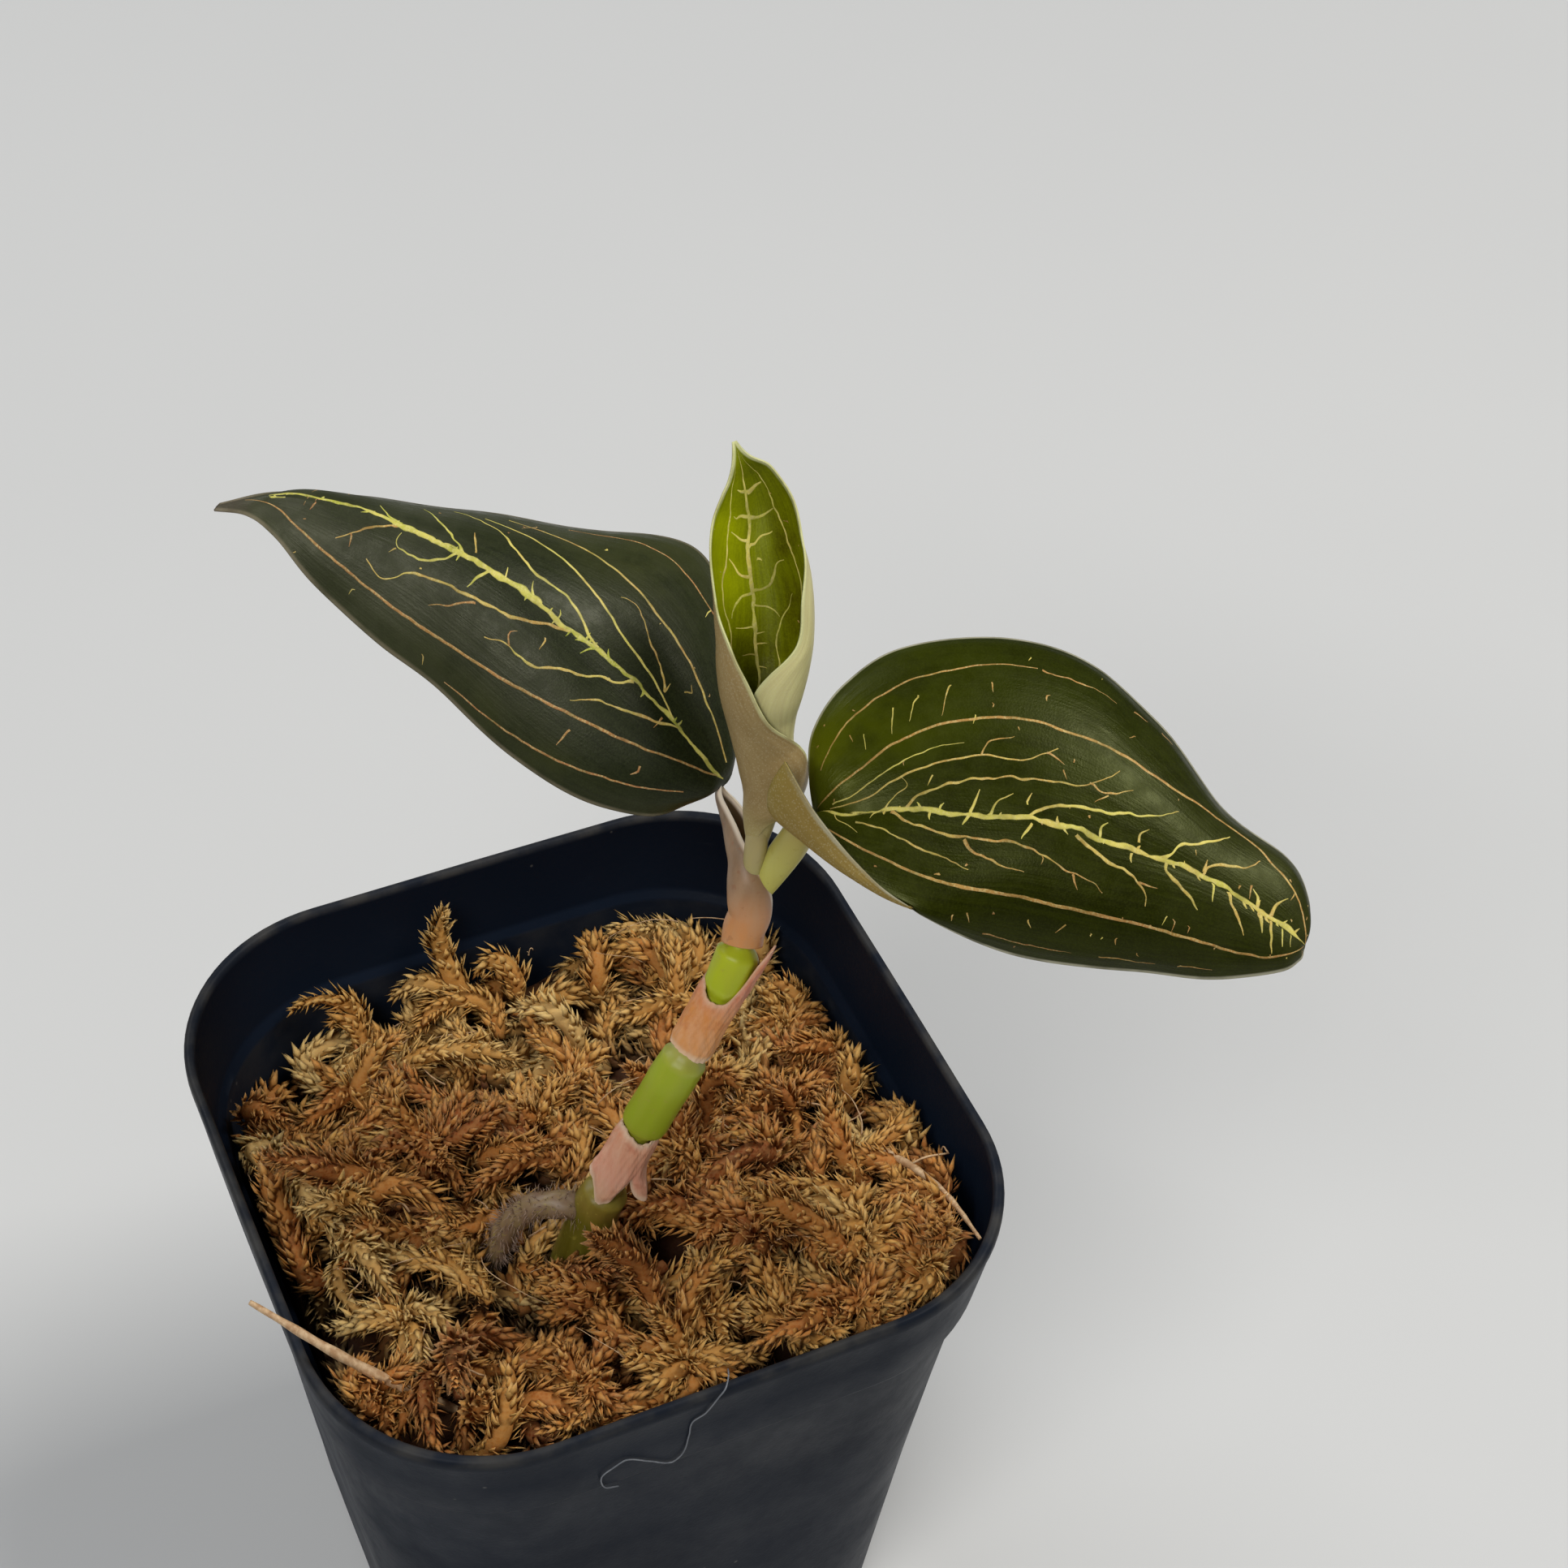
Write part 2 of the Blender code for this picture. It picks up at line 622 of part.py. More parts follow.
def strand_rows(start, way, length, radius, droop, chance):
    """A bent, knobbly strand that thins to its end."""
    rows = []
    point = np.array(start, float)
    way = unit(way)
    steps = 3
    for step in range(steps + 1):
        share = step / steps
        swell = 1.0 + 0.16 * chance.uniform(-1, 1)
        rows.append((*point, radius * swell * (1.0 - 0.55 * share ** 2)))
        point = point + way * length / steps
        way = unit(way + np.array((
            chance.uniform(-0.35, 0.35),
            chance.uniform(-0.35, 0.35),
            chance.uniform(-0.2, 0.2) - droop,
        )))
    return rows


def moss_strands(chance):
    """Tufts of short branches and longer strands lying among them."""
    strands = []
    reach = moss_room_half(60.0) - 3.0
    for i in range(TUFT_COUNT):
        x, y = chance.uniform(-reach, reach), chance.uniform(-reach, reach)
        base = (x, y, moss_top(x, y) - 3.0)
        branches = chance.randint(2, 4)
        heading = chance.uniform(0, 2 * math.pi)
        for branch in range(branches):
            turn = heading + 2 * math.pi * branch / branches + chance.uniform(-0.4, 0.4)
            way = (math.cos(turn), math.sin(turn), chance.uniform(0.5, 1.1))
            length = chance.uniform(5.0, 7.5)
            strands.append(strand_rows(base, way, length, chance.uniform(1.6, 2.2), 0.16, chance))
    for i in range(LONG_STRAND_COUNT):
        x, y = chance.uniform(-reach, reach), chance.uniform(-reach, reach)
        turn = chance.uniform(0, 2 * math.pi)
        way = (math.cos(turn), math.sin(turn), 0.42)
        base = (x, y, moss_top(x, y) - 3.0)
        strands.append(strand_rows(base, way, chance.uniform(8, 12), chance.uniform(1.3, 1.7), 0.1, chance))
    return strands


STRAW = (
    (-35.0, -11.8, 69.3, 0.55),
    (-33.0, -14.2, 68.6, 0.6),
    (-30.0, -17.0, 66.6, 0.65),
    (-26.0, -19.5, 63.2, 0.65),
    (-22.0, -21.0, 59.5, 0.6),
    (-19.0, -21.8, 56.0, 0.5),
)


def build_moss(collection):
    """The moss bed with its strands, kept inside the pot and clear of stem and root."""
    moss = moss_core(collection)
    chance = random.Random(MOSS_SEED)
    strands = [
        tube("strand", rows, collection, 3) for rows in moss_strands(chance)
    ]
    combine(moss, strands, "UNION", "MANIFOLD")
    levels = (POT_FLOOR + MOSS_GAP - 0.01, 30.0, 54.0, 55.5, 57.5, 64.0, 80.0)
    room = stacked_rings("room", [square_ring(moss_room_half(z), z) for z in levels], collection)
    combine(moss, [room], "INTERSECT", "MANIFOLD")
    combine(moss, [tube("straw", STRAW, collection, 6)], "UNION", "MANIFOLD")
    cutters = [
        tube("stem_hole", STEM[:6], collection, 16, fatten=CLEARANCE + 0.1),
        tube("root_hole", smooth_rows(ROOT, 9)[1:], collection, 10, fatten=CLEARANCE + 0.1),
    ]
    combine(moss, cutters, "DIFFERENCE", "MANIFOLD")
    keep_largest_piece(moss)
    return moss


# ---------------------------------------------------------------- the whole thing
def main():
    clear_scene()
    collection = bpy.data.collections.new(COLLECTION)
    bpy.context.scene.collection.children.link(collection)

    pot = build_pot(collection)
    finish(pot, principled("pot_plastic", (0.012, 0.014, 0.019), 0.45))

    moss = build_moss(collection)
    finish(moss, principled("dried_moss", (0.40, 0.22, 0.08), 0.9), 50.0)

    stem = build_stem(collection)
    finish(stem, principled("stem_green", (0.35, 0.42, 0.06), 0.45))

    lower = build_lower_sheath(collection)
    finish(lower, principled("sheath_pink", (0.62, 0.33, 0.24), 0.6))
    upper = build_upper_sheath(collection)
    finish(upper, principled("sheath_tan", (0.55, 0.30, 0.15), 0.55))

    pin = STEM[-3:]
    left = build_leaf(
        "leaf_left", blade_grid(LEFT_BLADE, 25, 5), LEFT_PETIOLE,
        (pin, lower_part(RIGHT_PETIOLE), lower_part(YOUNG_PETIOLE)), collection,
    )
    finish(left, principled("leaf_dark", (0.020, 0.028, 0.012), 0.38))
    right = build_leaf(
        "leaf_right", blade_grid(RIGHT_BLADE, 27, 5), RIGHT_PETIOLE,
        (lower_part(YOUNG_PETIOLE),), collection,
    )
    finish(right, principled("leaf_green", (0.035, 0.060, 0.008), 0.38))
    young = build_leaf(
        "leaf_young", rolled_grid(YOUNG_BLADE, YOUNG_BACK, 31, 15), YOUNG_PETIOLE, (), collection,
    )
    finish(young, principled("leaf_new", (0.20, 0.24, 0.05), 0.42))


main()
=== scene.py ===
"""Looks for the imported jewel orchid: fine leaves with gold veins, dried moss and a soft pot.

Lengths are in millimetres in the pot's own frame, as in the part's source; MM turns them
into metres. A place on a leaf is given by two shares: along runs from 0 at its base to 1 at
its tip, across from -1 at the far edge over 0 at the midrib to 1 at the near edge.
"""

import math

import bpy
import numpy as np
from mathutils import Matrix, Vector


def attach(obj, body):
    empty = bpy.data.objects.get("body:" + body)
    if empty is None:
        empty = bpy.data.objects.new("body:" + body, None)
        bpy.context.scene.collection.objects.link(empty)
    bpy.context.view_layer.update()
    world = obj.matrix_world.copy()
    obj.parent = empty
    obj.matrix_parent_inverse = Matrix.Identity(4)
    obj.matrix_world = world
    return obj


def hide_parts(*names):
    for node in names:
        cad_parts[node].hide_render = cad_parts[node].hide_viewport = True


MM = 0.001
FULL_TURN = 2 * math.pi
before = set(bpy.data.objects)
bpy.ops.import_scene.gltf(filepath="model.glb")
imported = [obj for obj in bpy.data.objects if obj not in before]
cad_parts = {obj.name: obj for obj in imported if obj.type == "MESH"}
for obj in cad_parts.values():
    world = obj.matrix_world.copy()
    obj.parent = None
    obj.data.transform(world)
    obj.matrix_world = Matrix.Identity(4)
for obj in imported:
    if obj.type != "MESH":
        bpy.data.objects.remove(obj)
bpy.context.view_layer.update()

# ---------------------------------------------------------------- camera, floor and light
CAMERA_PLACE = (-59.9, -155.6, 276.7)
CAMERA_RIGHT = (0.91063, -0.41150, 0.03913)
CAMERA_UP = (0.26899, 0.66180, 0.69982)
CAMERA_LENS = 67.6
CAMERA_SENSOR = 36.0
FLOOR_SIZE = 3000.0
# Soft boxes: name, compass turn and height in degrees as seen from the plant, distance,
# width, height, watts and colour.
LIGHTS = (
    ("light_key", -8.0, 58.0, 1200.0, 560.0, 460.0, 11.0, (1.0, 0.985, 0.95)),
    ("light_left", -140.0, 48.0, 1200.0, 560.0, 420.0, 7.5, (1.0, 0.99, 0.97)),
    ("light_back", 112.0, 40.0, 1300.0, 700.0, 460.0, 5.0, (0.94, 0.97, 1.0)),
)
LIGHT_TARGET = (2.0, -6.0, 90.0)
WORLD_COLOUR = (0.70, 0.80, 1.0)
WORLD_STRENGTH = 0.08

# ---------------------------------------------------------------- pot and bed, sized as the part
POT_HEIGHT = 65.0
POT_TOP_HALF = 32.5
POT_BASE_HALF = 25.0
POT_WALL = 0.9
POT_FLOOR = 1.3
COLLAR_HEIGHT = 10.5
COLLAR_STEP = 0.8
CORNER_SHARE = 0.52
CORNER_STEPS = 20            # points round each corner and along each side of a ring
SIDE_STEPS = 10
DRAIN_RADIUS = 3.2
DRAIN_OFFSET = 14.5
MOSS_GAP = 0.4
MOSS_FRONT_Z = 62.3
MOSS_BACK_DROP = 9.0
MOSS_LEFT_DROP = 4.0
STEM_DIP = 2.2

# ---------------------------------------------------------------- plant
# Stem, root and left blade have the part's own rows; the others were refined from the photo.
BLADE_HALF_THICKNESS = 0.26
MARGIN_HALF_THICKNESS = 0.08
EDGE_WAVE = 0.10
EDGE_WAVES = 7
THINNING_REACH = 1.6         # how far from its edge a blade thins out
RIM_ROWS = 81                # grid over which a blade's width is measured
RIM_COLUMNS = 25
STEM_STEP = 0.22
STEM_SIDES = 40
STEM_FOOT = 60.0             # the stem's colours run over its stretch above this height
STEM_SHOWN = 40.0
STEM_START = 0.016           # the stem's least share; the colour at 0 is the root's
HAIR_SEED = 21
HAIR_COUNT = 700
SLEEVE_SIDES = 96
SLEEVE_STEPS = 46
SMALL_STEP = 0.004           # shares over which a surface's slope is measured
AXIS_STEP = 0.03             # and the slope of a rolled blade's axis
RING_WAY = (0.0, 1.0, 0.1)   # where the rings of a tube start, as near as its bend allows
# How fine the smallest patterns are: cells in a metre.
LEAF_GLINT_GRAIN = 8200.0
LEAF_VELVET = 5200.0
VEIN_GLITTER = 7200.0
MOSS_CELLS = 2600.0

# Stem, root, petioles, straw and twig: x, y, z and radius.
STEM = (
    (-11.0, -9.5, 40.0, 1.5),
    (-9.2, -10.4, 46.0, 2.0),
    (-7.0, -11.2, 55.0, 2.1),
    (-5.5, -11.7, 61.2, 2.1),
    (-3.9, -12.2, 67.4, 2.1),
    (-3.2, -12.5, 69.2, 2.05),
    (-3.1, -12.55, 69.5, 1.25),
    (-1.0, -13.5, 76.9, 1.25),
    (-0.4, -13.75, 78.5, 1.3),
    (-0.3, -13.8, 78.8, 2.0),
    (1.7, -14.6, 84.5, 2.0),
    (3.0, -14.7, 87.1, 1.95),
    (3.1, -14.7, 87.4, 1.3),
    (5.0, -14.3, 90.8, 1.25),
    (6.3, -14.0, 92.8, 1.3),
    (6.6, -13.85, 93.3, 1.8),
    (8.3, -13.0, 96.4, 1.8),
    (8.4, -12.95, 96.6, 1.0),
    (8.9, -12.4, 98.0, 0.95),
)
ROOT = (
    (-4.6, -12.0, 66.0, 1.2),
    (-6.6, -11.0, 67.0, 1.25),
    (-8.8, -9.8, 66.4, 1.2),
    (-10.8, -8.9, 64.0, 1.1),
    (-12.0, -8.5, 60.5, 1.0),
    (-12.6, -8.2, 56.5, 0.6),
)
# Sheaths: x, y, z, inner and outer radius.
LOWER_SHEATH = (
    (-3.0, -12.6, 69.9, 1.65, 2.1),
    (-2.3, -12.9, 72.2, 1.55, 2.05),
    (-1.4, -13.3, 75.4, 1.45, 1.95),
    (-0.5, -13.7, 78.2, 1.4, 1.9),
)
UPPER_SHEATH = (
    (3.3, -14.65, 87.9, 1.5, 1.95),
    (4.9, -14.3, 90.6, 1.45, 1.9),
    (6.1, -14.0, 92.5, 1.5, 1.95),
    (6.9, -13.8, 93.9, 1.6, 2.0),
)
LOWER_FLAP_WAY = (0.9, -0.45, -0.2)
UPPER_TIP_WAY = (0.69, -0.72, -0.12)

# The left petiole is a sleeve that opens upwards into a channel, rolled as the new leaf is;
# its columns are those of YOUNG_BLADE.
LEFT_CHANNEL = (
    (8.55, -12.85, 96.95, 1.52, 1.66, 185, 186),
    (9.0, -12.3, 98.0, 1.52, 1.66, 185, 186),
    (9.6, -12.0, 99.2, 1.50, 1.66, 180, 184),
    (9.7, -11.6, 100.4, 1.50, 1.78, 160, 174),
    (9.9, -10.9, 101.9, 1.50, 1.70, 146, 150),
    (10.0, -10.1, 103.4, 1.50, 1.20, 142, 126),
    (9.9, -9.2, 104.8, 1.50, 0.92, 138, 108),
    (9.8, -8.3, 106.2, 1.35, 0.74, 132, 92),
    (9.6, -7.5, 107.3, 1.10, 0.66, 120, 80),
    (9.4, -6.8, 108.3, 0.75, 0.58, 95, 68),
    (9.5, -6.4, 109.1, 0.40, 0.40, 60, 55),
)
CHANNEL_BACK = (-0.91, 0.41, -0.04)
CHANNEL_HALF_THICKNESS = 0.19
RIGHT_PETIOLE = (
    (9.5, -11.6, 98.4, 0.75),
    (10.1, -11.3, 99.9, 0.85),
    (11.0, -11.45, 101.7, 1.1),
    (11.8, -11.9, 104.0, 1.3),
    (12.6, -12.7, 106.8, 1.35),
    (13.2, -13.8, 109.8, 1.15),
    (14.2, -15.3, 111.2, 0.80),
    (15.8, -16.6, 112.1, 0.40),
)
YOUNG_PETIOLE = (
    (9.6, -11.3, 98.2, 0.5),
    (9.65, -11.2, 100.2, 0.6),
    (9.95, -11.1, 102.2, 0.75),
    (10.15, -11.0, 103.6, 0.85),
    (10.3, -11.0, 105.4, 0.92),
    (10.6, -10.65, 107.2, 0.90),
    (10.85, -10.4, 108.9, 0.75),
    (11.1, -10.2, 110.3, 0.5),
    (11.3, -10.0, 111.5, 0.25),
)

# Blades: each row holds the far edge, the point its half is drawn towards, the midrib,
# the near half's point and the near edge.
LEFT_BLADE = {
    "base": (9.8, -6.3, 109.0),
    "rows": (
        ((11.5, -4, 110), (11, -5, 111), (8.5, -6, 110.5), (7.5, -7.5, 109.5), (6.5, -6.5, 108)),
        ((13.5, 0, 111), (11, -1.5, 114.5), (7, -3.5, 113), (4, -6.5, 112.5), (3, -6, 107.5)),
        ((15.5, 7.5, 114), (10, 3, 118), (4.5, 0.5, 116), (0.5, -3, 115), (-1.5, -4, 109)),
        ((15, 13, 116.5), (6.5, 7, 120.5), (1, 4.5, 119.5), (-3, 2, 118), (-6, 0.5, 111.5)),
        ((8, 16, 118), (1.5, 11, 122.5), (-3, 9, 122), (-6.5, 7.5, 120.5), (-9.5, 6.5, 114.5)),
        ((0.5, 18.5, 120), (-4, 14.5, 123.5), (-7, 14, 123.5), (-9.5, 12.5, 122.5), (-13, 11, 117)),
        ((-6.5, 20.5, 122), (-9.5, 17.5, 124.5), (-11.5, 17.5, 124.5), (-13.5, 16.5, 124),
         (-16.5, 15.5, 120.5)),
        ((-13.5, 22, 124), (-14.5, 21, 125.5), (-16, 20.5, 125.5), (-17, 20, 124.5), (-18.5, 19, 123.5)),
        ((-18, 22.5, 125), (-18.5, 22, 125), (-19, 22, 125), (-19.5, 21.5, 125), (-20, 21, 124.5)),
    ),
    "tip": (-21.7, 23.6, 123.9),
}
RIGHT_BLADE = {
    "base": (13.3, -14.8, 111.8),
    "rows": (
        ((14, -12.5, 113.5), (14, -14, 113.5), (14.5, -15.5, 112.5), (7.3, -14.1, 111.3), (11, -14, 118)),
        ((15.5, -9.5, 115.5), (16, -13, 116), (16, -17, 113), (8.5, -16.9, 110.9), (12, -17.5, 115.5)),
        ((19.5, -7, 117), (19.5, -12, 118), (20, -19, 114), (10.9, -20.8, 110.1), (14, -21.4, 112.6)),
        ((24.5, -6, 118), (24.5, -12.5, 119.5), (24, -21.5, 114), (17.2, -25.3, 109.2), (16.9, -24.8, 110.1)),
        ((33, -8.5, 118.5), (30, -15, 119.5), (28.5, -24.5, 114), (24, -28, 111), (24, -28, 105)),
        ((38.5, -12.5, 117), (35, -19.5, 118.5), (32.5, -27.5, 113), (29.5, -31.5, 110.5),
         (30, -31.5, 104.5)),
        ((41.6, -18.4, 114.9), (37.5, -25, 116), (36.5, -30, 112), (34, -34, 110), (35, -34.5, 104.5)),
        ((43.5, -25.9, 111.8), (41, -30, 113), (40, -33, 110.5), (38.5, -36, 109), (39, -37, 105)),
        ((46.4, -31.6, 110.2), (45, -34, 111), (42.5, -36, 109), (42, -38, 108), (42.5, -38.5, 106)),
        ((46.5, -35, 109), (45.5, -37, 108.5), (44, -37.5, 108), (43.5, -38.5, 107.5), (44, -38.5, 106.5)),
    ),
    "tip": (44.7, -37.9, 107.3),
}
BLADE_END_HALF_WIDTH = 0.4

# New leaf, rolled round its own axis: x, y, z of the axis, radius at its right edge and
# at its left edge, and how far in degrees each edge reaches round from the midrib.
YOUNG_BLADE = (
    (10.45, -10.8, 105.2, 0.60, 0.60, 160, 165),
    (10.75, -10.5, 107.2, 0.90, 1.02, 165, 180),
    (11.0, -10.4, 108.9, 0.95, 1.45, 175, 210),
    (11.5, -10.4, 110.5, 0.85, 2.25, 195, 248),
    (11.9, -10.1, 112.2, 1.25, 2.75, 210, 264),
    (11.85, -9.8, 113.9, 1.60, 2.80, 212, 258),
    (11.6, -9.3, 115.4, 1.70, 2.60, 208, 245),
    (11.7, -8.5, 117.5, 2.00, 2.95, 203, 202),
    (11.9, -7.9, 119.6, 2.55, 3.40, 202, 174),
    (12.3, -7.0, 121.4, 3.10, 3.60, 173, 153),
    (12.7, -6.0, 123.2, 3.50, 3.55, 135, 130),
    (13.2, -4.3, 125.6, 3.65, 3.65, 125, 100),
    (13.7, -1.7, 128.6, 3.60, 3.55, 90, 90),
    (14.6, 0.8, 130.9, 3.10, 3.10, 75, 75),
    (14.9, 2.9, 132.3, 1.95, 1.95, 65, 65),
    (14.7, 3.9, 132.9, 0.95, 0.95, 55, 55),
    (14.7, 5.3, 133.7, 0.50, 0.50, 20, 20),
)
YOUNG_BACK = (0.322, 0.666, -0.673)

# ---------------------------------------------------------------- veins
VEIN_STEP = 0.17             # length between the rows of a vein
VEIN_SPREAD = 1.15           # drawn width over the width in the tables
VEIN_WANDER = 0.13           # how far a vein strays to its sides
LONG_VEIN = 18.0             # longer veins keep most of their width to the end
TOOTHED_WIDTH = 0.4          # wider veins carry side teeth
TOOTH_SPACING = 1.9
TOOTH_STEP = 0.01            # shares over which the slope at a tooth is measured
UNDERSIDE_WIDTH = 0.2        # wider veins show on the underside too
# Across a vein: place as a share of its half width, height and strength of its colour.
VEIN_SECTION = (
    (-1.0, -0.015, 0.0),
    (-0.5, 0.006, 0.75),
    (0.0, 0.012, 1.0),
    (0.5, 0.006, 0.75),
    (1.0, -0.015, 0.0),
)
# Each vein: width in millimetres, tone (0 lime, 0.5 gold, 1 copper) and its way in hundredths
# along and across the leaf.
LEFT_VEINS = (
    # midrib
    (0.50, 0.10, ((4, 0), (16, 1), (30, 1), (40, 4), (50, 0), (60, 1), (66, -5), (72, -20), (77, -10),
                  (86, 0))),
    # far half, from the base towards the tip
    (0.19, 0.85, ((20, -86), (29, -83), (34, -79), (41, -81), (45, -84), (52, -85))),
    (0.27, 0.55, ((9, -30), (17, -36), (26, -40), (34, -43), (40, -49), (45, -56), (52, -69), (58, -80))),
    (0.19, 0.45, ((26, -10), (28, -18), (32, -25), (37, -37), (39, -35))),
    (0.25, 0.30, ((22, 0), (25, -5), (29, -10), (35, -16), (41, -27), (48, -43), (54, -57), (60, -72))),
    (0.27, 0.25, ((36, 2), (39, -5), (44, -15), (49, -21), (54, -39), (59, -62), (64, -78))),
    (0.22, 0.15, ((56, 0), (60, -22), (63, -40), (67, -70))),
    (0.16, 0.40, ((26, -9), (26, -17))),
    (0.16, 0.60, ((24, -22), (23, -28), (24, -32))),
    (0.19, 0.15, ((46, 0), (47.5, -12))),
    (0.18, 0.20, ((50, 0), (51, -11))),
    (0.18, 0.45, ((55, -8), (58, -36))),
    (0.21, 0.10, ((65, -5), (68, -20), (71, -50))),
    # near half
    (0.30, 0.75, ((8, 3), (13, 17), (21, 34), (31, 48), (40, 59), (48, 68), (59, 74), (68, 70), (77, 60),
                  (84, 33), (92, 10))),
    (0.21, 0.90, ((15, 60), (21, 70), (30, 79), (37, 86), (44, 90), (50, 93))),
    (0.24, 0.45, ((21, 2), (25, 15), (30, 26), (34, 36), (36, 45))),
    (0.30, 0.40, ((30, 2), (33, 15), (38, 30), (42, 43), (45, 43), (48, 49))),
    (0.15, 0.80, ((45, 43), (45.5, 34), (45, 31))),
    (0.30, 0.45, ((40, 5), (43, 13), (48, 27), (52, 31), (57, 37), (60, 44), (63, 60), (66, 51))),
    (0.19, 0.75, ((51, 32), (53, 43), (56, 57))),
    (0.25, 0.05, ((36, 2), (37, 9), (37.5, 14))),
    (0.25, 0.10, ((52, 0), (52.5, 11), (53, 25))),
    (0.21, 0.20, ((56, 1), (58, 17), (60, 27), (63, 28), (64, 20), (64, 9))),
    (0.21, 0.60, ((65, -4), (67, 7), (69, 25), (71, 49))),
    (0.16, 0.85, ((24, 55), (24, 60), (25, 65))),
    (0.16, 0.85, ((34.5, 62), (35, 68), (35.5, 76))),
    (0.12, 0.60, ((42, 21), (42, 31))),
    (0.18, 0.95, ((76.5, -10), (77, 20))),
)
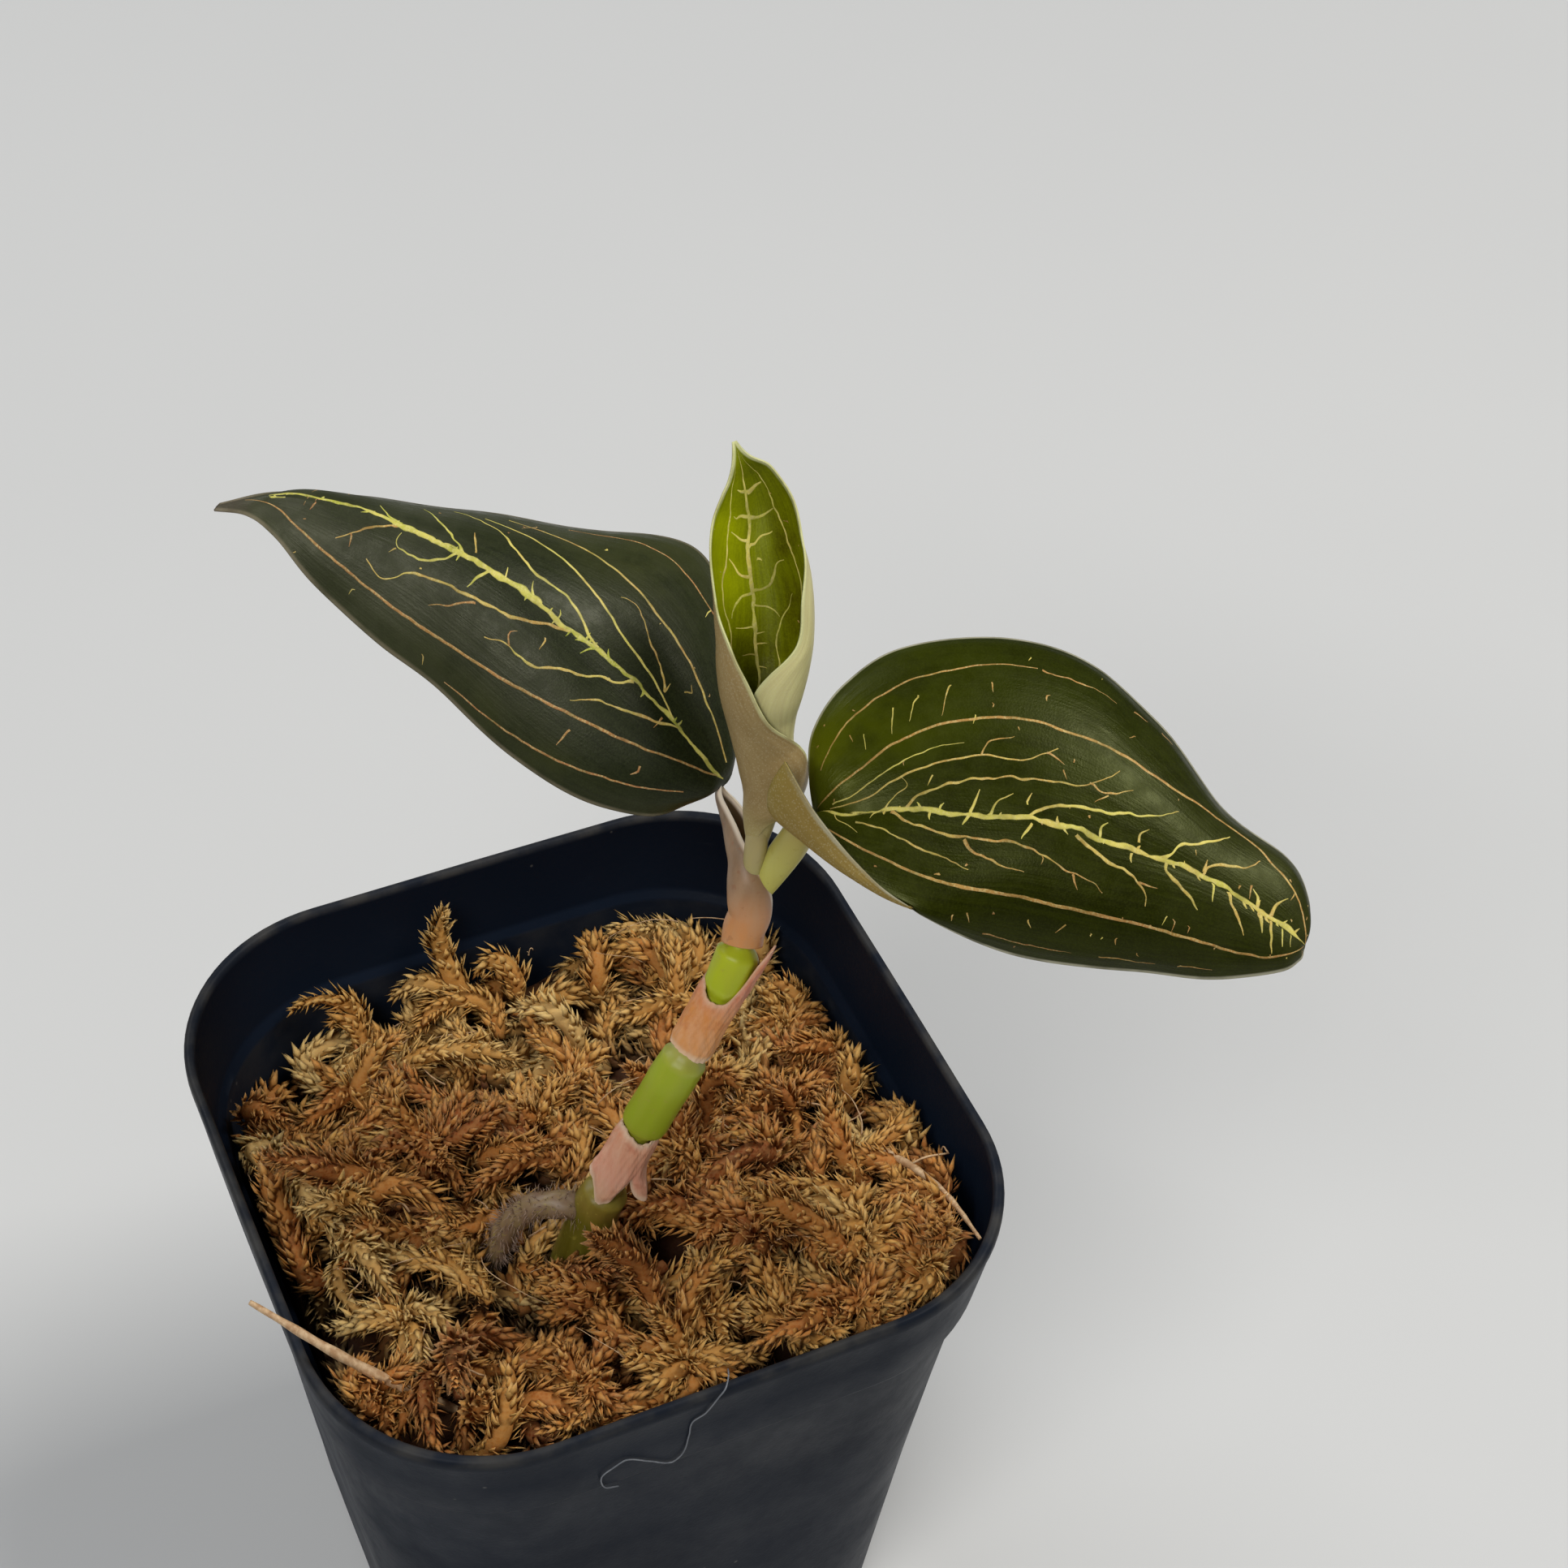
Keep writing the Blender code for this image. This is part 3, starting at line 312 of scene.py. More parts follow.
RIGHT_VEINS = (
    # midrib
    (0.52, 0.33, ((6, 0), (13, 3), (20, 0), (30, 0), (40, -1), (47, -2), (55, -2), (63, -1), (72, -2),
                  (80, -3), (88, -2), (98, 0))),
    # far half: two laterals that run round to the tip
    (0.28, 0.70, ((5, -30), (13, -29), (21, -32), (30, -38), (37, -42), (45, -45), (52, -45), (60, -50),
                  (66, -57), (71, -70), (76, -76), (80, -60), (85, -50), (90, -35), (97, -10))),
    (0.18, 0.65, ((14, -62), (20, -66), (28, -69), (38, -72), (44, -76), (48, -77))),
    (0.18, 0.75, ((48.5, -77), (52, -77), (57.5, -81))),
    (0.13, 0.80, ((60, -86), (62, -89))),
    (0.13, 0.80, ((64, -92), (65.5, -93))),
    (0.13, 0.33, ((12, -14), (18, -17), (24, -22), (30, -27), (35, -31), (38, -32))),
    (0.19, 0.45, ((10, -8), (20, -11), (26, -17), (34, -23), (40, -26), (44, -25), (47.5, -31),
                  (49, -35))),
    (0.16, 0.80, ((47.5, -31), (48.5, -30), (49.5, -28))),
    (0.15, 0.55, ((39.5, -26), (41, -32), (44, -36))),
    (0.24, 0.50, ((26, -1), (28, -6), (33, -12), (38, -16), (43, -17), (47, -19), (51, -22), (53, -25),
                  (55.5, -32), (57, -38))),
    (0.15, 0.65, ((52.5, -24), (54.5, -22.5), (56.5, -25), (59, -32))),
    (0.12, 0.65, ((55, -22), (53, -16))),
    (0.27, 0.33, ((43, -2), (45, -6), (49, -10), (55, -15), (60, -21), (63, -29), (66, -42))),
    (0.25, 0.33, ((35.5, -1), (37, -7), (38, -11))),
    (0.21, 0.33, ((38, -1), (39.5, -6), (42, -11))),
    (0.15, 0.33, ((43.5, -7), (44.5, -12))),
    (0.10, 0.33, ((23, -2), (25, -8), (27.5, -13), (27, -18))),
    (0.10, 0.40, ((32, -17), (30.5, -12))),
    (0.21, 0.33, ((53, -2), (53.5, -7), (54.5, -10))),
    (0.18, 0.33, ((59, -6), (59.5, -11), (61, -15))),
    (0.31, 0.40, ((62, -1), (64, -8), (66, -19), (69, -28), (72, -48), (73.5, -63))),
    (0.28, 0.50, ((68.5, -1), (70, -13), (73, -26), (76, -40), (77.5, -57))),
    (0.19, 0.40, ((69, -6), (70, -19))),
    (0.22, 0.33, ((78.5, -3), (78, -12), (77, -18))),
    (0.24, 0.40, ((81, -3), (81.5, -18), (83.5, -34))),
    (0.16, 0.33, ((84, -2), (85, -13))),
    (0.15, 0.40, ((88, -2), (89.5, -20))),
    # broken cross lines between the far laterals
    (0.10, 0.40, ((25, -52), (24, -42))),
    (0.10, 0.40, ((31, -58), (30, -51), (29, -43))),
    (0.11, 0.40, ((35, -60), (33.5, -54), (32, -47))),
    (0.11, 0.50, ((39, -63), (38, -55), (36.5, -46))),
    (0.11, 0.65, ((43, -64), (42.8, -58))),
    (0.11, 0.65, ((42.5, -52), (42.2, -50))),
    (0.11, 0.65, ((49, -62), (48.7, -58))),
    (0.11, 0.65, ((60, -68), (59, -63))),
    # a broken faint line along the near edge and its cross marks
    (0.11, 0.80, ((43, 86), (48, 87), (52, 87))),
    (0.10, 0.80, ((55, 87), (62, 88))),
    (0.10, 0.80, ((65, 88), (70, 88))),
    (0.10, 0.65, ((41, 68), (41.5, 78))),
    (0.10, 0.65, ((47, 66), (47.5, 72))),
    (0.10, 0.65, ((51, 64), (50, 72))),
    (0.10, 0.65, ((57, 68), (57, 74))),
    # near half
    (0.34, 0.70, ((19, 22), (25, 30), (31, 36), (36, 41), (42, 47), (47, 51), (54, 51), (62, 55),
                  (70, 62), (76, 67), (80, 67), (84, 58), (91, 42), (98, 15))),
    (0.12, 0.40, ((13, 3), (17, 8), (20, 12), (23.5, 19))),
    (0.18, 0.50, ((21, 10), (25, 13), (30, 19), (33.5, 22), (36, 25), (39, 31))),
    (0.25, 0.55, ((24, 1), (27, 6), (32, 10), (37, 12), (41, 12), (46, 18), (50, 25), (53, 27),
                  (54.5, 34))),
    (0.22, 0.60, ((36.5, 12), (38, 17), (41, 25), (45, 33))),
    (0.13, 0.60, ((50.5, 26), (51.5, 36))),
    (0.28, 0.50, ((49.5, 0), (51, 4), (54.5, 9), (59, 20), (60.5, 29), (60.5, 38))),
    (0.18, 0.65, ((59, 21), (62, 22))),
    (0.24, 0.33, ((35.2, 0), (35.3, 5))),
    (0.19, 0.33, ((43.5, 0), (43.1, 5), (43.1, 10))),
    (0.15, 0.40, ((29.8, 1), (30.5, 5))),
    (0.10, 0.40, ((21.8, 1), (22.2, 6))),
    (0.22, 0.33, ((57.7, 0), (57.8, 7))),
    (0.33, 0.33, ((63, 0), (63.2, 7), (65, 14), (67, 21), (68, 31))),
    (0.22, 0.33, ((70.3, 0), (70.3, 11), (70.4, 18))),
    (0.25, 0.40, ((73, 0), (73.5, 12), (75, 25), (75.5, 43))),
    (0.24, 0.33, ((79.3, 0), (79.3, 11), (78.8, 30))),
    (0.22, 0.40, ((81.4, 0), (81.5, 17), (80.5, 44), (80, 60))),
    (0.15, 0.33, ((84.8, 0), (84, 40))),
    (0.13, 0.33, ((88, 0), (87, 36))),
)
YOUNG_VEINS = (
    # midrib
    (0.40, 0.24, ((34.6, 2), (43, 5), (51.4, 9), (60.8, 13), (70.1, 12), (79.5, 12), (84.1, 16), (89, 20),
                  (93, 28), (98, 10))),
    # laterals that meet at the tip
    (0.21, 0.25, ((49.6, 35), (55.2, 42), (62.6, 62), (68.2, 62), (73.8, 51), (84.1, 56), (90.7, 72),
                  (96, 60))),
    (0.21, 0.30, ((62.6, -50), (69.2, -55), (78.5, -56), (84.1, -47), (87.9, -44), (92.5, -38),
                  (96.3, -25))),
    (0.15, 0.30, ((45.8, -12), (52.4, -12), (56.1, -16), (61.7, -30), (63.6, -36))),
    # short pairs
    (0.28, 0.25, ((89.5, 19), (89.9, 2), (90.5, -33))),
    (0.27, 0.25, ((89.5, 19), (89.6, 35), (90.4, 52))),
    (0.31, 0.25, ((83.7, 16), (83.7, 0), (84.2, -16), (84.9, -38))),
    (0.27, 0.25, ((83.7, 16), (83.8, 32), (82.9, 39), (83.7, 47))),
    (0.24, 0.24, ((75.9, 11), (76.5, 2), (78.5, -8), (79.8, -29))),
    (0.23, 0.24, ((77.4, 11), (77.5, 22), (78.5, 34), (79.5, 45))),
    (0.19, 0.24, ((72.7, 1), (72.2, -6))),
    (0.27, 0.25, ((68.9, 13), (69, 25), (70.1, 32), (72, 38), (73.4, 45))),
    (0.23, 0.24, ((65.1, 13), (65.2, 0), (66, -9), (68.2, -16), (70.9, -24), (71.2, -37))),
    (0.23, 0.24, ((64.8, 13), (64.7, 26), (63.1, 37), (60.8, 43), (58.9, 43))),
    (0.13, 0.30, ((61.7, 12), (61.4, 0), (60.4, -10), (58.6, -17))),
    (0.13, 0.30, ((56.1, 12), (56.4, 24), (56.7, 35))),
    (0.10, 0.30, ((54.5, 10), (54.9, 0))),
    (0.10, 0.30, ((51.7, 8), (51.4, -2))),
    (0.10, 0.30, ((49.1, 8), (48.9, 22))),
    (0.10, 0.30, ((46.5, 7), (45.9, -2))),
)
# Gold flecks strewn over a leaf: how many, their least and their greatest width.
LEFT_FLECKS = (22, 0.07, 0.15)
RIGHT_FLECKS = (46, 0.06, 0.16)
YOUNG_FLECKS = (12, 0.05, 0.10)

# ---------------------------------------------------------------- moss
BED_SEED = 11
BACK_X = 0.447               # the way to the back, as the camera sees the pot
BACK_Y = 0.894
MOSS_PIECES = 4
STAR_COUNT = 10
ROPE_COUNT = 150
FILL_COUNT = 185
SCALE_STEP = 0.095           # spacing of the small leaves along a strand
SCALE_LENGTH = 1.75
SCALE_WIDTH = 0.72
# One small leaf of a strand, a closed boat: shares along it, across it and outwards.
SCALE_SHAPE = np.array((
    (0.0, 0.0, -0.06),
    (0.38, -0.5, 0.04),
    (0.45, 0.0, 0.17),
    (0.38, 0.5, 0.04),
    (1.0, 0.0, 0.22),
))
SCALE_FACES = ((0, 2, 1), (0, 3, 2), (1, 2, 4), (2, 3, 4), (0, 1, 4), (0, 4, 3))
GOLDEN_TURN = math.radians(137.5)
PATH_STEPS = 16
BED_REACH = 29.0             # half side of the area in which strands start
ROOM_SHARE = 0.985           # share of the pot's inside that strands may fill
# DEEP sets how far down the painted shade of the moss reaches
DEEP = 3.6                   # depth over which the moss darkens
CORE_RINGS = 34
FIBRE_COUNT = 60
# Tufts seen in the photo: where they grow, their tone, arms, length and thickness.
TUFTS = (
    (-13.4, 4.3, 0.62, 9, 7.0, 1.9),
    (9.2, -17.4, 0.60, 9, 7.0, 1.8),
    (-27.0, -19.8, 0.55, 8, 6.5, 1.8),
    (1.1, 8.1, 0.45, 7, 6.5, 1.9),
    (22.5, 2.6, 0.66, 8, 6.5, 1.8),
    (2.1, -22.5, 0.30, 7, 6.0, 1.7),
    (17.8, -21.0, 0.26, 9, 7.0, 2.0),
    (-22.3, -13.5, 0.10, 6, 6.0, 1.7),
    (8.0, -26.5, 0.34, 8, 6.5, 1.9),
    (21.7, -26.0, 0.42, 8, 6.0, 1.9),
    (14.5, -27.5, 0.50, 7, 6.0, 1.8),
    (-2.0, -27.2, 0.38, 8, 6.0, 1.9),
)
# Single strands that stand out: start, end, tone and thickness.
MARKED_STRANDS = (
    ((-26.5, 7.5, 58.0), (-24.9, -2.2, 61.0), 0.03, 2.5),
    ((-24.9, -1.0, 59.5), (-23.4, -10.6, 61.8), 0.02, 2.3),
    ((-21.0, 2.0, 58.5), (-23.0, -6.0, 61.5), 0.08, 2.0),
    ((-4.3, 26.0, 50.5), (-4.6, 29.6, 57.0), 0.18, 2.7),
    ((2.3, 25.0, 50.5), (2.8, 28.4, 57.0), 0.30, 2.7),
    ((9.5, 22.0, 51.0), (11.3, 25.0, 57.5), 0.36, 2.8),
    ((-13.5, 24.0, 49.0), (-14.5, 28.0, 55.0), 0.42, 2.5),
    ((16.0, 17.0, 52.0), (17.2, 20.2, 57.5), 0.34, 2.4),
    ((26.0, 10.5, 51.0), (28.6, 12.5, 56.0), 0.38, 2.5),
    ((25.0, -2.5, 54.0), (28.2, 0.0, 58.5), 0.30, 2.4),
    ((-22.0, -27.0, 59.5), (-13.5, -29.0, 60.0), 0.40, 2.6),
    ((-20.0, -22.5, 59.5), (-18.0, -28.0, 60.5), 0.55, 2.4),
)
STRAW = (
    (-35.0, -11.8, 69.3, 0.22),
    (-33.0, -14.2, 68.6, 0.32),
    (-30.0, -17.0, 66.6, 0.42),
    (-26.0, -19.5, 63.2, 0.46),
    (-22.0, -21.0, 59.5, 0.42),
    (-19.0, -21.8, 56.0, 0.3),
)
TWIG = (
    (24.6, -12.0, 60.0, 0.35),
    (25.4, -16.2, 62.2, 0.34),
    (26.3, -21.0, 63.4, 0.28),
    (26.6, -26.5, 64.0, 0.16),
)
PALE_FIBRE = (
    (0.6, -30.4, 64.4),
    (0.0, -31.8, 65.6),
    (-0.7, -32.8, 65.6),
    (-1.3, -32.8, 64.6),
    (-2.3, -32.4, 62.2),
    (-3.4, -32.3, 61.4),
    (-3.6, -32.1, 59.2),
    (-4.0, -31.8, 56.2),
    (-5.0, -31.7, 55.2),
    (-7.1, -31.9, 57.0),
    (-9.3, -32.1, 58.9),
    (-10.4, -32.1, 58.5),
    (-11.5, -31.9, 57.3),
    (-11.1, -31.6, 54.9),
    (-9.8, -31.4, 54.0),
)


# ---------------------------------------------------------------- small tools
def unit(vectors):
    vectors = np.asarray(vectors, float)
    return vectors / np.maximum(np.linalg.norm(vectors, axis=-1, keepdims=True), 1e-9)


def spokes(turns, first, second):
    """Directions at the given turns from the first of two square ones to the second."""
    return np.cos(turns)[..., None] * first + np.sin(turns)[..., None] * second


def way_at(turn, rise=0.0):
    """A direction at a turn seen from above, rising as it goes."""
    return math.cos(turn), math.sin(turn), rise


def ease(value):
    value = np.clip(value, 0.0, 1.0)
    return value * value * (3 - 2 * value)


def reached(points):
    """Share of the whole length reached at each point."""
    steps = np.linalg.norm(np.diff(np.asarray(points, float), axis=0), axis=1)
    total = np.concatenate(([0.0], np.cumsum(steps)))
    return total / total[-1]


def way_length(points):
    return float(np.linalg.norm(np.diff(points, axis=0), axis=1).sum())


def curve_at(keys, stations, samples):
    """A smooth curve through the keys, read at the samples."""
    keys = np.asarray(keys, float)
    stations = np.asarray(stations, float)
    samples = np.clip(np.asarray(samples, float), stations[0], stations[-1])
    spread = (-1,) + (1,) * (keys.ndim - 1)
    slopes = np.empty_like(keys)
    slopes[0] = (keys[1] - keys[0]) / (stations[1] - stations[0])
    slopes[-1] = (keys[-1] - keys[-2]) / (stations[-1] - stations[-2])
    slopes[1:-1] = (keys[2:] - keys[:-2]) / (stations[2:] - stations[:-2]).reshape(spread)
    i = np.clip(np.searchsorted(stations, samples) - 1, 0, len(stations) - 2)
    step = (stations[i + 1] - stations[i]).reshape(spread)
    t = (samples - stations[i]).reshape(spread) / step
    return (
        (1 + 2 * t) * (1 - t) ** 2 * keys[i]
        + t * (1 - t) ** 2 * step * slopes[i]
        + t * t * (3 - 2 * t) * keys[i + 1]
        + t * t * (t - 1) * step * slopes[i + 1]
    )


def mesh_piece(name, points, faces, material, values=None, sharp=None):
    """A new mesh object from points in millimetres, with named values at its points."""
    mesh = bpy.data.meshes.new(name)
    mesh.from_pydata((np.asarray(points, float) * MM).tolist(), [], faces)
    for key, numbers in (values or {}).items():
        layer = mesh.attributes.new(key, "FLOAT", "POINT")
        layer.data.foreach_set("value", np.asarray(numbers, np.float32))
    mesh.polygons.foreach_set("use_smooth", [True] * len(mesh.polygons))
    if sharp is not None:
        mesh.set_sharp_from_angle(angle=math.radians(sharp))
    mesh.materials.append(material)
    mesh.update()
    return new_object(name, mesh)


def new_object(name, data):
    """A new object of the scene that shows the given data."""
    thing = bpy.data.objects.new(name, data)
    bpy.context.scene.collection.objects.link(thing)
    return thing


def belongs(piece, slot, node):
    """Let the piece ride on the plant's body, in place of its CAD node."""
    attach(piece, "root")
    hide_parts(node)


class Build:
    """Points, faces and named values gathered for one piece."""

    def __init__(self, *names):
        self.points = []
        self.faces = []
        self.values = {name: [] for name in names}
        self.size = 0

    def add(self, points, faces, **values):
        points = np.asarray(points, float).reshape(-1, 3)
        self.points.append(points)
        self.faces += [tuple(i + self.size for i in face) for face in faces]
        for name, numbers in self.values.items():
            numbers.append(np.broadcast_to(np.asarray(values.get(name, 0.0), float), (len(points),)))
        self.size += len(points)

    def add_rings(self, rings, **values):
        """A closed tube through rings of points."""
        self.add(rings, ring_faces(len(rings), len(rings[0])), **values)

    def piece(self, name, material, sharp=None):
        values = {name: np.concatenate(numbers) for name, numbers in self.values.items()}
        return mesh_piece(name, np.concatenate(self.points), self.faces, material, values, sharp)


def ring_faces(rings, sides):
    """Faces of a stack of closed rings, capped at both ends."""
    faces = []
    for ring in range(rings - 1):
        for i in range(sides):
            a = ring * sides + i
            b = ring * sides + (i + 1) % sides
            faces.append((a, b, b + sides, a + sides))
    faces.append(tuple(range(sides - 1, -1, -1)))
    faces.append(tuple(range((rings - 1) * sides, rings * sides)))
    return faces


def frames_along(points, way):
    """Tangents and two square directions carried along a path without twist."""
    tangents = unit(np.gradient(points, axis=0))
    sides = []
    for tangent in tangents:
        way = way - tangent * np.dot(way, tangent)
        way = way / max(np.linalg.norm(way), 1e-9)
        sides.append(way)
    sides = np.array(sides)
    return tangents, sides, np.cross(tangents, sides)


def ring_turns(sides):
    return FULL_TURN * np.arange(sides) / sides


def tube_points(points, radii, sides, lobes=None):
    """Rings round a path; lobes may change the radius with the turn and the share along."""
    points = np.asarray(points, float)
    _, first, second = frames_along(points, np.array(RING_WAY))
    turns = ring_turns(sides)
    radius = np.asarray(radii, float)[:, None] * np.ones(sides)
    if lobes is not None:
        radius = radius * lobes(turns[None, :], reached(points)[:, None])
    ways = spokes(turns, first[:, None, :], second[:, None, :])
    return points[:, None, :] + radius[..., None] * ways


def smooth_stalk(rows, count):
    """Many rows on the smooth curve through the given rows of x, y, z and radius."""
    rows = np.asarray(rows, float)
    return curve_at(rows, reached(rows[:, :3]), np.linspace(0.0, 1.0, count))


# ---------------------------------------------------------------- materials
class Nodes:
    """Short names for the nodes of one material."""

    def __init__(self, name):
        self.material = bpy.data.materials.new(name)
        self.material.use_nodes = True
        self.tree = self.material.node_tree
        self.shader = self.tree.nodes["Principled BSDF"]
        self.coordinates = self.node("TexCoord").outputs["Object"]

    def node(self, kind, **settings):
        node = self.tree.nodes.new("ShaderNode" + kind)
        for name, value in settings.items():
            setattr(node, name, value)
        return node

    def put(self, node, **inputs):
        """Link or set inputs by name, an underline standing for a space."""
        for name, value in inputs.items():
            self.put_one(value, node.inputs[name.replace("_", " ")])

    def put_one(self, value, socket):
        if isinstance(value, bpy.types.NodeSocket):
            self.tree.links.new(value, socket)
        elif socket.type == "RGBA":
            socket.default_value = (*value, 1.0)
        else:
            socket.default_value = value

    def value(self, name):
        return self.node("Attribute", attribute_name=name).outputs["Fac"]

    def place(self, *scale):
        node = self.node("Mapping")
        self.put(node, Vector=self.coordinates, Scale=scale)
        return node.outputs["Vector"]

    def joined(self, first, second):
        """A pattern's coordinates from two values."""
        node = self.node("CombineXYZ")
        self.put(node, X=first, Y=second)
        return node.outputs["Vector"]

    def noise(self, scale, detail=3.0, roughness=0.5, vector=None, distortion=0.0):
        node = self.node("TexNoise")
        self.put(node, Vector=vector or self.coordinates, Scale=scale, Detail=detail,
                 Roughness=roughness, Distortion=distortion)
        return node.outputs["Fac"]

    def cells(self, scale, output="Distance", vector=None):
        node = self.node("TexVoronoi")
        self.put(node, Vector=vector or self.coordinates, Scale=scale)
        return node.outputs[output]

    def step(self, value, low, high, to_low=0.0, to_high=1.0):
        """Smooth steps from one level to another as the value goes from low to high."""
        node = self.node("MapRange", interpolation_type="SMOOTHSTEP")
        self.put(node, Value=value, From_Min=low, From_Max=high, To_Min=to_low, To_Max=to_high)
        return node.outputs["Result"]

    def maths(self, operation, first, second):
        node = self.node("Math", operation=operation)
        self.put_one(first, node.inputs[0])
        self.put_one(second, node.inputs[1])
        return node.outputs[0]

    def times(self, first, second):
        return self.maths("MULTIPLY", first, second)

    def plus(self, first, second):
        return self.maths("ADD", first, second)

    def mix(self, share, first, second):
        node = self.node("Mix", data_type="RGBA")
        self.put(node, Factor=share, A=first, B=second)
        return node.outputs["Result"]

    def over(self, colour, other, value, low, high, strength=1.0):
        """The other colour laid over the first one as the value goes from low to high."""
        return self.mix(self.step(value, low, high, 0.0, strength), colour, other)

    def ramp(self, value, *stops):
        node = self.node("ValToRGB")
        marks = node.color_ramp.elements
        while len(marks) < len(stops):
            marks.new(0.5)
        for mark, (place, colour) in zip(marks, stops):
            mark.position = place
            mark.color = (*colour, 1.0)
        self.put(node, Fac=value)
        return node.outputs["Color"]

    def bump(self, height, strength, distance, normal=None):
        node = self.node("Bump")
        self.put(node, Strength=strength, Distance=distance, Height=height)
        if normal is not None:
            self.put(node, Normal=normal)
        return node.outputs["Normal"]

    def done(self, colour, roughness, **sockets):
        self.put(self.shader, Base_Color=colour, Roughness=roughness, **sockets)
        return self.material


def soft(weight, depth, *radius):
    """The shader's values for light that sinks in: its share, depth in metres and spread."""
    return {"Subsurface_Weight": weight, "Subsurface_Scale": depth, "Subsurface_Radius": radius}


def vein_colours(make):
    """Lime, gold and copper by tone, with painted glints for the glitter of the cells in a vein."""
    drift = make.step(make.noise(330.0, 3.0, 0.6), 0.3, 0.7, -0.09, 0.12)
    colour = make.ramp(
        make.plus(make.value("tone"), drift),
        (0.0, (0.32, 0.36, 0.030)),
        (0.3, (0.66, 0.57, 0.130)),
        (0.6, (0.46, 0.26, 0.075)),
        (1.0, (0.36, 0.150, 0.060)),
    )
    # painted glints: bright specks on the vein's cells
    colour = make.over(colour, (0.72, 0.62, 0.28), make.cells(VEIN_GLITTER, "Color"), 0.35, 0.95, 0.45)
    faint = make.step(make.noise(520.0, 3.0, 0.6), 0.30, 0.60, 0.45, 0.0)
    return make.mix(faint, colour, (0.06, 0.06, 0.008))


def tinted(make, body, tints, along_leaf, across_leaf):
    """The blade's colour with each soft tint laid over it, broken up by blotches; some tints are painted
    sheen and painted glow.
    """
    blotches = make.noise(120.0, 4.0, 0.65)
    for colour, strength, lengthwise, crosswise in tints:
        mask = make.times(make.step(along_leaf, *lengthwise), make.step(across_leaf, *crosswise))
        broken = make.step(blotches, 0.38, 0.62, 0.35 * strength, 1.04 * strength)
        body = make.mix(make.times(mask, broken), body, colour)
    return body


def leaf_material(name, dark, light, grain, tints, margin, under, foot, roughness, specular,
                  gleam, vein_rise):
    """A jewel orchid's blade: velvety cells, soft tints by place and coloured veins, with painted glints.

    Each tint is a colour, its strength and the stretches along and across the leaf over
    which it comes in, some tints being painted sheen and painted glow; grain is the strength
    of painted glints on the cells; margin is the pale edge's colour and strength, the edge
    being partly its own colour and partly painted sheen; under holds the underside's colours
    at the far half, at the near half and in streaks.
    """
    make = Nodes(name)
    along_leaf = make.value("along")
    across_leaf = make.value("across")
    way = make.joined(make.times(along_leaf, 7.0), make.times(across_leaf, 22.0))
    streaks = make.noise(1.0, 4.0, 0.6, way)
    shade = make.plus(make.times(streaks, 0.55), make.times(make.noise(230.0, 5.0, 0.6), 0.45))
    face = make.over(dark, light, shade, 0.38, 0.64)
    face = tinted(make, face, tints, along_leaf, across_leaf)
    # painted glints: bright specks over the fine cells stand for the glitter of the velvety leaf
    bright = tuple(2.6 * part + 0.003 for part in light)
    face = make.over(face, bright, make.cells(LEAF_GLINT_GRAIN, "Color"), 0.2, 1.0, grain)
    vein = make.value("vein")
    shown = make.times(make.step(vein, 0.05, 0.85), make.step(along_leaf, *vein_rise))
    face = make.mix(shown, face, vein_colours(make))

    margin_colour, margin_strength = margin
    # The pale edge band is partly the thin edge's own colour and partly painted sheen where the edge turns
    # away; it shows on both faces.
    pale = make.times(make.step(make.value("rim"), 0.14, 0.36, 1.0, 0.0), margin_strength)
    pale = make.times(pale, make.step(make.noise(380.0), 0.25, 0.6, 0.35, 1.0))
    pale = make.times(pale, make.step(along_leaf, 0.08, 0.22))
    face = make.mix(pale, face, margin_colour)

    far_under, near_under, streaked = under
    back = make.over(far_under, near_under, across_leaf, -0.35, 0.35)
    back = make.over(back, streaked, streaks, 0.3, 0.7, 0.35)
    back = make.mix(make.step(along_leaf, 0.04, 0.18, 1.0, 0.0), back, foot)
    back = make.over(back, streaked, vein, 0.1, 0.7, 0.7)
    velvet = make.cells(LEAF_VELVET)
    back = make.mix(make.step(velvet, 0.0, 0.5, 0.22, 0.0), back, (0.62, 0.58, 0.40))
    back = make.mix(make.times(pale, 0.8), back, margin_colour)

    relief = make.plus(velvet, make.times(make.noise(900.0, 4.0, 0.6), 0.9))
    return make.done(
        make.mix(make.value("under"), face, back),
        make.step(make.noise(700.0, 4.0, 0.6), 0.3, 0.7, roughness - 0.05, roughness + 0.09),
        Normal=make.bump(streaks, 0.12, 0.0004, make.bump(relief, 0.10, 0.00008)),
        Specular_IOR_Level=specular,
        Specular_Tint=gleam,
    )


def stalk_ribs(make):
    return make.noise(1.0, 3.0, 0.6, make.place(900.0, 900.0, 60.0))


def stalk_material(name, speck, *stops):
    """A fleshy stalk: colours along its length, fine ribs and small specks."""
    make = Nodes(name)
    ribs = stalk_ribs(make)
    colour = make.ramp(make.value("along"), *stops)
    colour = make.over(colour, speck, ribs, 0.25, 0.8, 0.22)
    specks = make.times(make.step(make.noise(1500.0, 2.0), 0.62, 0.72), 0.35)
    return make.done(
        make.mix(specks, colour, speck),
        0.42,
        Normal=make.bump(ribs, 0.2, 0.0002),
        Specular_IOR_Level=0.36,
        **soft(0.25, 0.0012, 1.0, 0.8, 0.3),
    )


